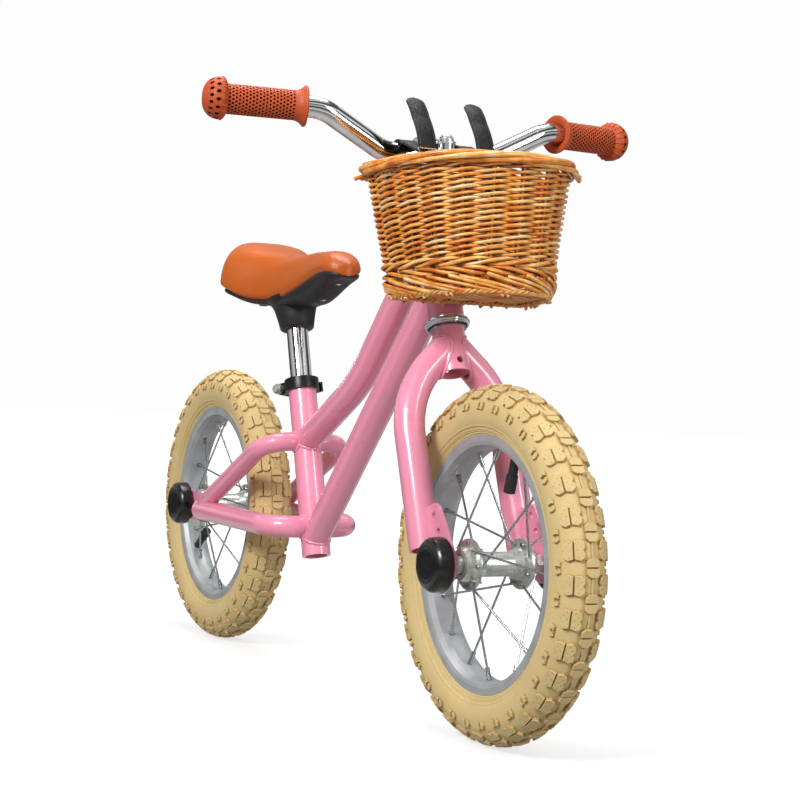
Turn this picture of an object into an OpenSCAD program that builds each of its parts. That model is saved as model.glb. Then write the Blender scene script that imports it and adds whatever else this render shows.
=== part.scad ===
// Child's balance bike on spoked 12 1/2 inch wheels, with a quill stem and a wicker basket.
// +X points forward, +Y to the rider's left and +Z up.
// The origin is on the floor, midway along the bike's length.

/* [Wheels] */
// Outside diameter of the tyres, over the tread
tyre_d = 302; // [300:1:304]
// Width of the tyres
tyre_w = 47; // [46:0.5:48]
// Distance between the two axles
wheelbase = 610; // [600:1:625]
// Diameter over the rim flanges
rim_d = 216; // [215:0.5:217]
// Spokes in each wheel
spoke_count = 16; // [12:4:20]

/* [Frame] */
// Lean of the steering axis back from vertical
steer_lean = 21; // [20:0.5:22]
// Lean of the seat tube back from vertical
seat_lean = 17.5; // [16.5:0.5:18.5]
// Outside diameter of the seat tube
seat_tube_d = 28.6; // [28.6:0.1:29.2]
// Outside diameter of the down tube
down_tube_d = 28; // [26:0.1:28.2]
// Outside diameter of the curved top tube
top_tube_d = 27; // [25.4:0.1:28]
// Outside diameter of each seat stay
seat_stay_d = 19; // [17:0.5:20]
// Outside diameter of each chain stay
chain_stay_d = 22.2; // [20:0.1:22.4]
// Length of the head tube
head_tube_l = 105; // [100:1:108]

/* [Fork] */
// Distance of the front axle ahead of the steering axis
fork_offset = 24; // [22:1:26]
// Length of the fork along the steering axis, head tube to axle
fork_l = 227.7; // [226:0.1:230]
// Half the distance between the two fork legs' centres
leg_spread = 47.5; // [47:0.5:49]
// Outside diameter of each fork leg
leg_d = 27; // [25:0.5:27]

/* [Cockpit] */
// Diameter of the handlebar
bar_d = 19; // [18:0.5:19]
// Overall width of the handlebar, over the grips
bar_w = 430; // [410:1:440]
// Rise of the grips above the clamped middle of the bar
bar_rise = 34; // [28:1:38]
// Length of each rubber grip
grip_l = 91; // [88:1:95]

/* [Seat] */
// Diameter of the seat post
post_d = 22.2; // [22.0:0.1:22.4]
// Length of the saddle
saddle_l = 229; // [224:1:236]
// Width of the saddle at its widest
saddle_w = 115; // [110:1:122]

/* [Basket] */
// Width of the basket over its rim
basket_w = 195; // [185:1:197]
// Depth of the basket over its rim, front to back
basket_depth = 123; // [115:1:126]
// Height of the basket
basket_h = 117; // [110:1:118]

/* [Hidden] */
$fn = 48;
slack = 0.08;
eps = 0.5;

// Wheels
axle_z = tyre_d / 2;
axle_x = wheelbase / 2;
tyre_section = tyre_w / 2;
tyre_mid_r = axle_z - tyre_section;
tyre_wall = 3;
tyre_seat_gap = 0.3;
rim_r = rim_d / 2;
rim_half_w = 14.5;
rim_floor_r = rim_r - 11;
nipple_r = rim_floor_r + 2.3;
valve_hole_r = 4.4;
valve_in_r = 64;
front_valve_angle = 74;
rear_valve_angle = 215;

// Hubs and axles
axle_r = 4.75;
flange_r = 21.5;
flange_y = 25;
flange_t = 2.4;
spoke_ring_r = 18;
spoke_r = 1;
hub_half_w = 34;
cone_end_y = 37.5;
ball_ring_r = 9.1;
ball_ring_y = 29.4;
ball_r = 2.38;
balls_per_side = 9;
nut_r = 9.8;
nut_h = 9;
cap_r = 23;
cap_l = 15.5;
cap_gap = 1.5;
drop_t = 4;
front_drop_y = 45;
rear_drop_y = 41.5;

// Steering axis: w runs up it from the bottom face of the head tube, u points forward
head_x = axle_x - fork_offset * cos(steer_lean) - fork_l * sin(steer_lean);
head_z = axle_z - fork_offset * sin(steer_lean) + fork_l * cos(steer_lean);
head_r = 16;
head_bore_r = 14.5;
steerer_r = 12.7;
steerer_bore_r = 11.1;
crown_r = 14.5;
crown_bore_r = 12;
crown_top_w = -9.3;
crown_foot_w = -50;
crown_hole_w = -41.5;
crown_hole_r = 3;
leg_start_w = -21;
leg_end_w = -207;
leg_set_back = 7;
leg_wall = 2;
eyelets = [[18.5, -184], [22.5, -199]];
eyelet_r = 3.2;
cup_r = 19.2;
cup_bore_r = 12.95;
cup_h = 7;
steerer_top_w = head_tube_l + 19;

// Stem and handlebar
bar_x = 163;
bar_z = 503;
bar_r = bar_d / 2;
quill_r = steerer_bore_r - slack;
stem_dx = bar_x - head_x;
stem_dz = bar_z - head_z;
clamp_u = stem_dx * cos(steer_lean) + stem_dz * sin(steer_lean);
clamp_w = stem_dz * cos(steer_lean) - stem_dx * sin(steer_lean);
clamp_r = 16;
clamp_half_w = 18;
sweep = 14.3;
upsweep = 1.2;
grip_dir = [-sin(sweep), cos(sweep), sin(upsweep)];
grip_end = [bar_x - 23, bar_w / 2, bar_z + bar_rise];
bar_inset = 5;

// Seat tube: s runs up it from its open lower end
seat_foot_x = -52.4;
seat_foot_z = 118.6;
seat_tube_l = 181;
seat_r = seat_tube_d / 2;
seat_bore_r = post_d / 2 + slack;
post_top_s = 258;
post_l = 184;
socket_s = 240;
down_tube_s = 17.5;
top_tube_s = 118.7;
top_tube_knee = [33, 0, 296.2];
top_tube_knee_r = 200;
top_tube_w = 91;
down_tube_w = 37.7;
stay_y = 45;
seat_stay_knee_r = 27;
chain_stay_knee_r = 30;
chain_stay_s = 30.2;
stay_end_x = -axle_x + 43;
stay_drop = 25.3;
stay_wall = 1.6;
tube_wall = 1.8;

// Seat clamp: its ears point back and a little to the right
ear_angle = 205;
collar_s = seat_tube_l - 8;
collar_h = 12;
collar_r = 17.6;
ear_x = 23.5;
skewer_r = 2.5;
lever_y = -15;
lever_l = 31;

// Saddle
saddle_nose_x = -4;
saddle_steps = 28;
saddle_sides = 24;

// Basket: drawn level, then tipped a little so that its back leans on the head tube
basket_tip = -3.7;
basket_pivot_x = 186;
basket_back_x = 203;
basket_top_z = 485;
basket_foot_x = 207;
basket_foot_w = basket_w - 53;
basket_foot_depth = basket_depth - 13;
basket_wall = 5;
strap_y = 29.2;
strap_w = 18;
strap_t = 2.2;
strap_slot_z = 466.8;

// ---- Places -------------------------------------------------------------------------

// Children are drawn along the steering axis: +X is u, +Y stays +Y, +Z is w.
module on_steering() {
    translate([head_x, 0, head_z]) rotate([0, -steer_lean, 0]) children();
}

// Children are drawn along the seat tube, at height s up it.
module on_seat_tube(s = 0) {
    translate([seat_foot_x, 0, seat_foot_z]) rotate([0, -seat_lean, 0]) translate([0, 0, s]) children();
}

// Children are drawn around an axle: +X forward, +Y up, +Z to the rider's right.
module on_axle(x) {
    translate([x, 0, axle_z]) rotate([90, 0, 0]) children();
}

module both_sides() {
    children();
    mirror([0, 1, 0]) children();
}

function steering_point(u, v, w) = [
    head_x + u * cos(steer_lean) - w * sin(steer_lean), v,
    head_z + u * sin(steer_lean) + w * cos(steer_lean)];
function seat_point(s) = [
    seat_foot_x - s * sin(seat_lean), 0, seat_foot_z + s * cos(seat_lean)];

// ---- Pipes: straight rods joined by round elbows ------------------------------------

function unit(v) = v / norm(v);

module rod(a, b, r, bore_r = 0) {
    d = b - a;
    translate(a) rotate([0, acos(d.z / norm(d)), atan2(d.y, d.x)]) difference() {
        cylinder(r = r, h = norm(d));
        if (bore_r > 0) translate([0, 0, -eps]) cylinder(r = bore_r, h = norm(d) + 2 * eps);
    }
}

function turn(a, b, c) = acos(unit(b - a) * unit(c - b));
function tangent_l(a, b, c, bend_r) = bend_r * tan(turn(a, b, c) / 2);

// An elbow of radius bend_r, where the way a-b-c turns at b
module elbow(a, b, c, bend_r, r, bore_r = 0) {
    angle = turn(a, b, c);
    t = tangent_l(a, b, c, bend_r);
    start = b + t * unit(a - b);
    along = unit(b - a);
    side = unit(cross(cross(along, unit(c - b)), along));
    up = cross(side, along);
    centre = start + bend_r * side;
    axes = [[-side.x, along.x, -up.x, centre.x], [-side.y, along.y, -up.y, centre.y],
            [-side.z, along.z, -up.z, centre.z], [0, 0, 0, 1]];
    multmatrix(axes) rotate_extrude(angle = angle, $fn = 72) translate([bend_r, 0]) difference() {
        circle(r = r);
        if (bore_r > 0) circle(r = bore_r);
    }
}

// A pipe along points, rounded at each inner point by the radius of the same place in bends.
// Its elbows are a hair thicker than its straight lengths, which run a little way into them.
module pipe(points, bends, r, wall = 0) {
    last = len(points) - 1;
    lap = 1;
    swell = 0.06;
    for (i = [0:last - 1]) {
        back = i == 0 ? 0 : tangent_l(points[i - 1], points[i], points[i + 1], bends[i - 1]) - lap;
        ahead = i == last - 1 ? 0 : tangent_l(points[i], points[i + 1], points[i + 2], bends[i]) - lap;
        way = unit(points[i + 1] - points[i]);
        rod(points[i] + back * way, points[i + 1] - ahead * way, r, wall > 0 ? r - wall : 0);
    }
    for (i = [1:1:last - 1])
        elbow(points[i - 1], points[i], points[i + 1], bends[i - 1], r + swell,
            wall > 0 ? r - wall - swell : 0);
}

// ---- Frame --------------------------------------------------------------------------

frame_pink = [0.93, 0.60, 0.68];

module seat_tube_solid() {
    on_seat_tube() cylinder(r = seat_r, h = seat_tube_l);
}

module seat_tube() {
    slit_l = 26;
    slit_w = 2;
    color(frame_pink) difference() {
        seat_tube_solid();
        on_seat_tube(-eps) cylinder(r = seat_bore_r, h = seat_tube_l + 2 * eps);
        on_seat_tube(seat_tube_l - slit_l) rotate([0, 0, ear_angle])
            translate([0, -slit_w / 2, 0]) cube([seat_tube_d, slit_w, slit_l + eps]);
    }
}

module head_tube_solid() {
    on_steering() cylinder(r = head_r, h = head_tube_l);
}

module head_tube() {
    color(frame_pink) difference() {
        head_tube_solid();
        on_steering() translate([0, 0, -eps]) cylinder(r = head_bore_r, h = head_tube_l + 2 * eps);
    }
}

top_tube_way = [seat_point(top_tube_s), top_tube_knee, steering_point(0, 0, top_tube_w)];
down_tube_way = [seat_point(down_tube_s), steering_point(0, 0, down_tube_w)];

module top_tube() {
    color(frame_pink) difference() {
        pipe(top_tube_way, [top_tube_knee_r], top_tube_d / 2, tube_wall);
        seat_tube_solid();
        head_tube_solid();
    }
}

module down_tube() {
    color(frame_pink) difference() {
        pipe(down_tube_way, [], down_tube_d / 2, tube_wall);
        seat_tube_solid();
        head_tube_solid();
    }
}

// Stays leave the side of the seat tube square to it, then turn back along the wheel.
function seat_stay_way() = let (
    p = seat_point(top_tube_s),
    run = (p.x - stay_end_x - 12)) [
    p, [p.x, stay_y, p.z], [p.x - run, stay_y, p.z - run * tan(stay_drop)]];
function chain_stay_way() = let (p = seat_point(chain_stay_s)) [
    p, [p.x, stay_y, p.z], [stay_end_x, stay_y, p.z]];

module rear_dropout_plate(more = 0) {
    tab_h = 30;
    tab_l = 60;
    translate([0, rear_drop_y + drop_t, 0]) on_axle(-axle_x)
        translate([0, 0, -more]) linear_extrude(drop_t + 2 * more) difference() {
            union() {
                circle(r = 17);
                translate([0, -tab_h / 2 - 1]) square([tab_l, tab_h]);
            }
            circle(r = axle_r + slack);
        }
}

module rear_dropouts() {
    color(frame_pink) both_sides() rear_dropout_plate();
}

module seat_stays() {
    color(frame_pink) both_sides() difference() {
        pipe(seat_stay_way(), [seat_stay_knee_r], seat_stay_d / 2, stay_wall);
        seat_tube_solid();
        pipe(top_tube_way, [top_tube_knee_r], top_tube_d / 2);
        pipe(chain_stay_way(), [chain_stay_knee_r], chain_stay_d / 2);
        rear_dropout_plate();
    }
}

module chain_stays() {
    color(frame_pink) both_sides() difference() {
        pipe(chain_stay_way(), [chain_stay_knee_r], chain_stay_d / 2, stay_wall);
        seat_tube_solid();
        pipe(down_tube_way, [], down_tube_d / 2);
        rear_dropout_plate();
    }
}

// ---- Headset ------------------------------------------------------------------------

// Profile of the lower cup: a lip below the head tube and a skirt pressed into it
module cup_profile() {
    race_r = 17.6;
    race_d = 4;
    skirt_h = 8;
    difference() {
        union() {
            translate([cup_bore_r, 0]) square([head_bore_r - cup_bore_r, skirt_h]);
            translate([cup_bore_r, -cup_h]) square([cup_r - cup_bore_r, cup_h]);
        }
        translate([0, -cup_h - eps]) square([race_r, race_d + eps]);
    }
}

module lower_headset_cup() {
    color("silver") on_steering() rotate_extrude() cup_profile();
}

module upper_headset_cup() {
    color("silver") on_steering() translate([0, 0, head_tube_l]) mirror([0, 0, 1])
        rotate_extrude() cup_profile();
}

module crown_race() {
    color("silver") on_steering() rotate_extrude()
        polygon([[steerer_r, crown_top_w], [16.6, crown_top_w], [16.6, -7.15], [13.55, -7.15],
                 [13.55, -4.6], [steerer_r, -4.6]]);
}

module ball_ring(w, ring_r, r, count) {
    for (i = [0:count - 1]) rotate([0, 0, 360 * i / count]) translate([ring_r, 0, w]) sphere(r = r);
}

module headset_balls() {
    headset_ball_r = 1.9;
    ring_w = 5.15;
    color("gainsboro") on_steering() {
        ball_ring(-ring_w, 15.55, headset_ball_r, 18);
        ball_ring(head_tube_l + ring_w, 15.55, headset_ball_r, 18);
    }
}

module headset_top_race() {
    w = head_tube_l;
    color("silver") on_steering() rotate_extrude()
        polygon([[steerer_r, w + 4.6], [13.55, w + 4.6], [13.55, w + 7.25], [17.3, w + 7.25],
                 [17.3, w + 12], [steerer_r, w + 12]]);
}

module headset_locknut() {
    color("silver") on_steering() translate([0, 0, head_tube_l + 12.3]) difference() {
        cylinder(r = 17.5, h = 6.5, $fn = 6);
        translate([0, 0, -eps]) cylinder(r = steerer_r, h = 6.5 + 2 * eps);
    }
}

// ---- Seat clamp -----------------------------------------------------------------------

// Children are drawn at the middle of the collar, with +X through its ears.
module on_collar() {
    on_seat_tube(collar_s) rotate([0, 0, ear_angle]) children();
}

module seat_clamp_collar() {
    lip = 3;
    ear_l = 29;
    ear_half_w = 8;
    slit_w = 3;
    color([0.08, 0.08, 0.08]) on_collar() difference() {
        union() {
            cylinder(r = collar_r, h = collar_h);
            translate([seat_r - 1, -ear_half_w, 0]) cube([ear_x - seat_r + 1, 2 * ear_half_w, collar_h]);
            translate([ear_x, ear_half_w, collar_h / 2]) rotate([90, 0, 0])
                cylinder(r = ear_l - ear_x, h = 2 * ear_half_w);
        }
        translate([0, 0, -eps]) cylinder(r = seat_r, h = collar_h - lip + eps);
        cylinder(r = seat_bore_r + 0.3, h = collar_h + eps);
        translate([0, -slit_w / 2, -eps]) cube([ear_l + eps, slit_w, collar_h + 2 * eps]);
        translate([ear_x, ear_half_w + eps, collar_h / 2]) rotate([90, 0, 0])
            cylinder(r = skewer_r + slack, h = 2 * ear_half_w + 2 * eps);
    }
}

// The skewer runs from the nut on the right, through the ears, to an eye around the cam pin.
module seat_clamp_skewer() {
    eye_r = 4.5;
    eye_h = 5;
    color("silver") on_collar() translate([ear_x, 0, collar_h / 2]) difference() {
        union() {
            rotate([90, 0, 0]) translate([0, 0, -14]) cylinder(r = skewer_r, h = 14 - lever_y);
            translate([0, lever_y, -eye_h / 2]) cylinder(r = eye_r, h = eye_h);
        }
        translate([0, lever_y, -eye_h / 2 - eps]) cylinder(r = 2, h = eye_h + 2 * eps);
    }
}

module seat_clamp_nut() {
    color("silver") on_collar() translate([ear_x, 8, collar_h / 2]) rotate([-90, 0, 0]) difference() {
        union() {
            cylinder(r = 5.2, h = 5);
            translate([0, 0, 5]) cylinder(r = 3.8, h = 2.5);
        }
        translate([0, 0, -eps]) cylinder(r = skewer_r, h = 6 + eps);
    }
}

module clamp_cam_pin() {
    pin_h = 13;
    color("silver") on_collar() translate([ear_x, lever_y, collar_h / 2 - pin_h / 2])
        cylinder(r = 2, h = pin_h);
}

// Forked cam head around the skewer's eye, and an arm that lies forward along the collar
module clamp_lever() {
    pivot_r = 6.4;
    pivot_h = 12.4;
    gap_h = 5.6;
    arm_w = 10;
    arm_t = 3.4;
    tip = [ear_x - lever_l, -23.5];
    color([0.08, 0.08, 0.08]) on_collar() difference() {
        union() {
            translate([ear_x, lever_y, collar_h / 2 - pivot_h / 2])
                cylinder(r = pivot_r, h = pivot_h);
            translate([0, 0, collar_h / 2 - arm_w / 2]) linear_extrude(arm_w)
                polygon([[ear_x, lever_y - pivot_r], [ear_x - 6, lever_y - 2.6], tip + [0, arm_t], tip]);
            translate([tip.x, tip.y + arm_t / 2, collar_h / 2 - arm_w / 2])
                cylinder(r = arm_t / 2, h = arm_w);
        }
        translate([ear_x, lever_y, collar_h / 2 - pivot_h])
            cylinder(r = 2 + slack, h = 2 * pivot_h);
        translate([ear_x - 5.2, lever_y - 5, collar_h / 2 - gap_h / 2]) cube([20, 30, gap_h]);
    }
}

// ---- Axles ----------------------------------------------------------------------------

module axle(x, drop_y) {
    half_l = drop_y + drop_t + nut_h + 2.5;
    on_axle(x) translate([0, 0, -half_l]) cylinder(r = axle_r, h = 2 * half_l);
}

module cones(x) {
    on_axle(x) for (side = [0, 1]) mirror([0, 0, side]) rotate_extrude()
        polygon([[axle_r, 26.5], [6, 26.5], [6.2, ball_ring_y], [7.8, 32.8], [7.8, cone_end_y],
                 [axle_r, cone_end_y]]);
}

module locknuts(x, drop_y) {
    on_axle(x) for (side = [0, 1]) mirror([0, 0, side]) difference() {
        translate([0, 0, cone_end_y]) cylinder(r = 8.7, h = drop_y - cone_end_y, $fn = 6);
        cylinder(r = axle_r, h = drop_y + eps);
    }
}

module axle_nuts(x, drop_y) {
    on_axle(x) for (side = [0, 1]) mirror([0, 0, side]) difference() {
        translate([0, 0, drop_y + drop_t]) cylinder(r = nut_r, h = nut_h, $fn = 6);
        cylinder(r = axle_r, h = drop_y + drop_t + nut_h + eps);
    }
}

// A hollow rounded cap with an inner sleeve that grips the axle nut
module axle_caps(x, drop_y) {
    wall = 2.5;
    edge = 4.5;
    start = drop_y + drop_t + cap_gap;
    on_axle(x) for (side = [0, 1]) mirror([0, 0, side]) translate([0, 0, start]) rotate_extrude() {
        difference() {
            union() {
                square([cap_r - edge, cap_l]);
                square([cap_r, cap_l - edge]);
                translate([cap_r - edge, cap_l - edge]) circle(r = edge);
            }
            translate([0, -eps]) square([cap_r - wall, cap_l - wall - 1.5 + eps]);
            translate([-cap_r, -eps]) square([cap_r, cap_l + 2 * eps]);
        }
        translate([nut_r + 0.2, 0]) square([2, cap_l - wall - 1]);
    }
}

dull_zinc = [0.72, 0.74, 0.72];
cap_black = [0.06, 0.06, 0.06];

module front_axle() { color(dull_zinc) axle(axle_x, front_drop_y); }
module front_axle_cones() { color(dull_zinc) cones(axle_x); }
module front_axle_locknuts() { color(dull_zinc) locknuts(axle_x, front_drop_y); }
module front_axle_nuts() { color(dull_zinc) axle_nuts(axle_x, front_drop_y); }
module front_axle_caps() { color(cap_black) axle_caps(axle_x, front_drop_y); }
module rear_axle() { color(dull_zinc) axle(-axle_x, rear_drop_y); }
module rear_axle_cones() { color(dull_zinc) cones(-axle_x); }
module rear_axle_locknuts() { color(dull_zinc) locknuts(-axle_x, rear_drop_y); }
module rear_axle_nuts() { color(dull_zinc) axle_nuts(-axle_x, rear_drop_y); }
module rear_axle_caps() { color(cap_black) axle_caps(-axle_x, rear_drop_y); }

// ---- Wheels -----------------------------------------------------------------------------

function flip(points) = [for (i = [len(points) - 1:-1:0]) [points[i].x, -points[i].y]];

module rim_profile() {
    floor_t = 1.8;
    inside = [[rim_r, 12.2], [rim_r - 2, 12.5], [rim_r - 6, 12.3], [rim_floor_r + 1.6, 7.5],
              [rim_floor_r + floor_t, 4]];
    outside = [[rim_floor_r, 5], [rim_floor_r + 0.4, 8.6], [rim_floor_r + 2.6, 13.4],
               [rim_r - 5.5, rim_half_w], [rim_r, rim_half_w]];
    polygon(concat(inside, flip(inside), flip(outside), outside));
}

function rim_angle(i) = 360 * i / spoke_count;
// Spokes alternate sides, and on each side they alternate ways round the hub: one cross.
function spoke_side(i) = i % 2 == 0 ? 1 : -1;
function spoke_way(i) = floor(i / 2) % 2 == 0 ? 1 : -1;
function hub_angle(i) = rim_angle(i) + spoke_way(i) * 720 / spoke_count;
// The spokes on a flange's outer face stand further off it, to clear its edge.
function spoke_offset(i) = spoke_side(i) * (flange_y + spoke_way(i) * (flange_t / 2 + spoke_r + 0.1)
    + (spoke_way(i) > 0 ? 1.7 : 0));
function hub_hole(i) = [spoke_ring_r * cos(hub_angle(i)), spoke_ring_r * sin(hub_angle(i)), spoke_offset(i)];
function rim_hole(i, r) = [r * cos(rim_angle(i)), r * sin(rim_angle(i)),
                           2 * spoke_side(i) * (rim_r - r) / rim_r];
function nipple_dir(i) = unit(rim_hole(i, nipple_r) - hub_hole(i));

module rim(x, valve_angle) {
    on_axle(x) difference() {
        rotate_extrude($fn = 96) rim_profile();
        for (i = [0:spoke_count - 1]) rod(hub_hole(i), rim_hole(i, nipple_r) + 4 * nipple_dir(i), 2.4);
        rotate([0, 0, valve_angle]) translate([rim_floor_r - 6, 0, 0]) rotate([0, 90, 0])
            cylinder(r = valve_hole_r, h = 16);
    }
}

module spokes(x) {
    color("lightgray") on_axle(x) for (i = [0:spoke_count - 1]) {
        p = hub_hole(i);
        tip = rim_hole(i, nipple_r) - 4 * nipple_dir(i);
        head = [p.x, p.y, 2 * spoke_side(i) * flange_y - p.z];
        into = unit(head - p);
        rod(p, tip, spoke_r);
        rod(p - 1.1 * into, head, spoke_r + 0.07);
        rod(head - 0.2 * into, head + 0.9 * into, 1.8);
    }
}

module nipples(x) {
    shank_l = 13.5;
    color("lightgray") on_axle(x) for (i = [0:spoke_count - 1]) {
        d = nipple_dir(i);
        tip = rim_hole(i, nipple_r);
        difference() {
            union() {
                rod(tip - shank_l * d, tip + 1.2 * d, 2);
                rod(tip + 0.7 * d, tip + 3 * d, 3);
            }
            rod(tip - (shank_l + eps) * d, tip - 3.9 * d, spoke_r);
        }
    }
}

module hub(x) {
    barrel_r = 10.5;
    half = [[5.6, 25], [9, 25], [11.6, 26.8], [11.6, 32.4], [8.6, 33], [8.6, hub_half_w], [12.9, hub_half_w],
            [14.5, 30.5], [15.5, flange_y + flange_t / 2], [flange_r, flange_y + flange_t / 2],
            [flange_r, flange_y - flange_t / 2], [14.5, flange_y - flange_t / 2], [13.5, 19.5],
            [barrel_r, 13.5]];
    color(dull_zinc) on_axle(x) difference() {
        rotate_extrude() polygon(concat(half, flip(half)));
        for (i = [0:spoke_count - 1]) translate([hub_hole(i).x, hub_hole(i).y, spoke_side(i) * flange_y])
            cylinder(r = spoke_r + 0.15, h = 2 * flange_t, center = true);
    }
}

module hub_balls(x) {
    color("gainsboro") on_axle(x) for (side = [0, 1]) mirror([0, 0, side])
        ball_ring(ball_ring_y, ball_ring_r, ball_r, balls_per_side);
}

// Carcass with a round section, and two beads that sit inside the rim's hooks
module tyre(x) {
    cut_r = rim_r + tyre_seat_gap;
    bead = [[cut_r + 1.4, 9.3], [rim_r - 5.2, 9.3], [rim_r - 5.2, 12], [cut_r + 1.4, 12]];
    color([0.88, 0.76, 0.53]) on_axle(x) union() {
        rotate_extrude($fn = 96) difference() {
            translate([tyre_mid_r, 0]) circle(r = tyre_section);
            translate([tyre_mid_r, 0]) circle(r = tyre_section - tyre_wall);
            translate([0, -tyre_w]) square([cut_r, 2 * tyre_w]);
        }
        rotate_extrude($fn = 96) polygon(bead);
        rotate_extrude($fn = 96) polygon(flip(bead));
    }
}

module inner_tube(x) {
    outer_r = tyre_section - tyre_wall - 0.4;
    color([0.12, 0.12, 0.12]) on_axle(x) rotate_extrude($fn = 96) translate([tyre_mid_r, 0])
        difference() {
            circle(r = outer_r);
            circle(r = outer_r - 1.6);
        }
}

// Rubber valve stem through the rim, with its cap screwed on
module valve(x, angle) {
    cap_l = 15;
    top_r = tyre_mid_r - tyre_section + tyre_wall + 0.1;
    color([0.05, 0.05, 0.05]) on_axle(x) rotate([0, 0, angle]) rotate([0, 90, 0]) {
        translate([0, 0, valve_in_r + cap_l]) cylinder(r = 4, h = top_r - valve_in_r - cap_l);
        translate([0, 0, valve_in_r]) cylinder(r = 4.9, h = cap_l);
    }
}

rim_silver = [0.70, 0.71, 0.73];

module front_tyre() { tyre(axle_x); }
module front_inner_tube() { inner_tube(axle_x); }
module front_rim() { color(rim_silver) rim(axle_x, front_valve_angle); }
module front_spokes() { spokes(axle_x); }
module front_nipples() { nipples(axle_x); }
module front_hub() { hub(axle_x); }
module front_hub_balls() { hub_balls(axle_x); }
module front_valve() { valve(axle_x, front_valve_angle); }
module rear_tyre() { tyre(-axle_x); }
module rear_inner_tube() { inner_tube(-axle_x); }
module rear_rim() { color(rim_silver) rim(-axle_x, rear_valve_angle); }
module rear_spokes() { spokes(-axle_x); }
module rear_nipples() { nipples(-axle_x); }
module rear_hub() { hub(-axle_x); }
module rear_hub_balls() { hub_balls(-axle_x); }
module rear_valve() { valve(-axle_x, rear_valve_angle); }

// ---- Fork -------------------------------------------------------------------------------

// The steerer tube and the wider crown tube below it, drilled for a brake or reflector bolt
module steerer() {
    crown_profile = [[crown_bore_r, crown_foot_w], [crown_r, crown_foot_w], [crown_r, crown_top_w],
                     [steerer_r, crown_top_w], [steerer_r, steerer_top_w], [steerer_bore_r, steerer_top_w],
                     [steerer_bore_r, crown_top_w - 8], [crown_bore_r, crown_top_w - 8]];
    color(frame_pink) on_steering() difference() {
        rotate_extrude() polygon(crown_profile);
        translate([-crown_r - 1, 0, crown_hole_w]) rotate([0, 90, 0])
            cylinder(r = crown_hole_r, h = 2 * crown_r + 2);
    }
}

module fork_dropout_plate() {
    front_edge = [[5, -174], [21, -174], [26, -178], [35, -205], [fork_offset + 17, -fork_l]];
    back_edge = [[fork_offset - 17, -fork_l], [2, -212], [-4, -200]];
    translate([0, front_drop_y + drop_t, 0]) rotate([90, 0, 0]) linear_extrude(drop_t) difference() {
        union() {
            translate([fork_offset, -fork_l]) circle(r = 17);
            polygon(concat(front_edge, back_edge));
        }
        translate([fork_offset, -fork_l]) circle(r = axle_r + slack);
        for (e = eyelets) translate(e) circle(r = eyelet_r);
    }
}

module fork_dropouts() {
    color(frame_pink) on_steering() both_sides() fork_dropout_plate();
}

// The left leg leaves the crown at 45 degrees and bends down beside the wheel.
module fork_leg() {
    way = [[0, 0, leg_start_w], [-leg_set_back, leg_spread, leg_start_w - leg_spread],
           [-leg_set_back, leg_spread, leg_end_w]];
    difference() {
        pipe(way, [88], leg_d / 2, leg_wall);
        translate([0, 0, crown_foot_w - 10]) cylinder(r = crown_r, h = -crown_foot_w + 20);
        fork_dropout_plate();
    }
}

module fork_legs() {
    color(frame_pink) on_steering() both_sides() fork_leg();
}

// ---- Stem and handlebar -------------------------------------------------------------------

quill_foot_w = 62;
quill_top_w = clamp_w + 7;
clamp_bolt_x = 23;
ear_half_h = 9;
quill_bore_r = 4.2;

// Children are drawn around the bar's clamped middle, +X forward.
module on_clamp() {
    translate([bar_x, 0, bar_z]) children();
}

module stem() {
    ext_r = 10.5;
    ear_l = 29;
    color("silver") difference() {
        union() {
            on_steering() {
                translate([0, 0, quill_foot_w]) cylinder(r = quill_r, h = quill_top_w - quill_foot_w);
                translate([0, 0, quill_top_w]) cylinder(r1 = quill_r, r2 = 8.5, h = 4);
                translate([0, 0, clamp_w - 1]) rotate([0, 90, 0]) cylinder(r = ext_r, h = clamp_u);
            }
            on_clamp() translate([0, clamp_half_w, 0]) rotate([90, 0, 0])
                cylinder(r = clamp_r, h = 2 * clamp_half_w);
            on_clamp() translate([bar_r + 3, -8, -ear_half_h])
                cube([clamp_bolt_x - bar_r - 3, 16, 2 * ear_half_h]);
            on_clamp() translate([clamp_bolt_x, 0, -ear_half_h]) cylinder(r = 7.5, h = 2 * ear_half_h);
        }
        on_clamp() translate([0, clamp_half_w + eps, 0]) rotate([90, 0, 0])
            cylinder(r = bar_r + slack, h = 2 * clamp_half_w + 2 * eps);
        on_clamp() translate([0, -clamp_half_w - eps, -1]) cube([ear_l + 6, 2 * clamp_half_w + 2 * eps, 2]);
        on_clamp() translate([clamp_bolt_x, 0, -ear_half_h - eps]) cylinder(r = 2.6, h = 2 * ear_half_h + 1);
        on_steering() {
            translate([0, 0, quill_foot_w - eps]) cylinder(r = quill_bore_r, h = quill_top_w);
            // The quill's foot is cut on a slant for the wedge.
            translate([0, 0, quill_foot_w]) rotate([0, 35, 0]) translate([-30, -30, -40]) cube([60, 60, 40]);
        }
    }
}

module stem_wedge() {
    wedge_l = 22;
    color("silver") on_steering() difference() {
        translate([0, 0, quill_foot_w - wedge_l]) cylinder(r = quill_r - 0.3, h = wedge_l + 10);
        translate([0, 0, quill_foot_w]) rotate([0, 35, 0]) translate([-30, -30, -0.2]) cube([60, 60, 40]);
        translate([0, 0, quill_foot_w - wedge_l - eps]) cylinder(r = 4, h = 60);
    }
}

module stem_expander_bolt() {
    color("silver") on_steering() difference() {
        union() {
            translate([0, 0, quill_foot_w - 20]) cylinder(r = 4, h = quill_top_w + 4.2 - quill_foot_w + 20);
            translate([0, 0, quill_top_w + 4]) cylinder(r = 6.5, h = 6);
        }
        translate([0, 0, quill_top_w + 6]) cylinder(r = 3.4, h = 10, $fn = 6);
    }
}

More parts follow.
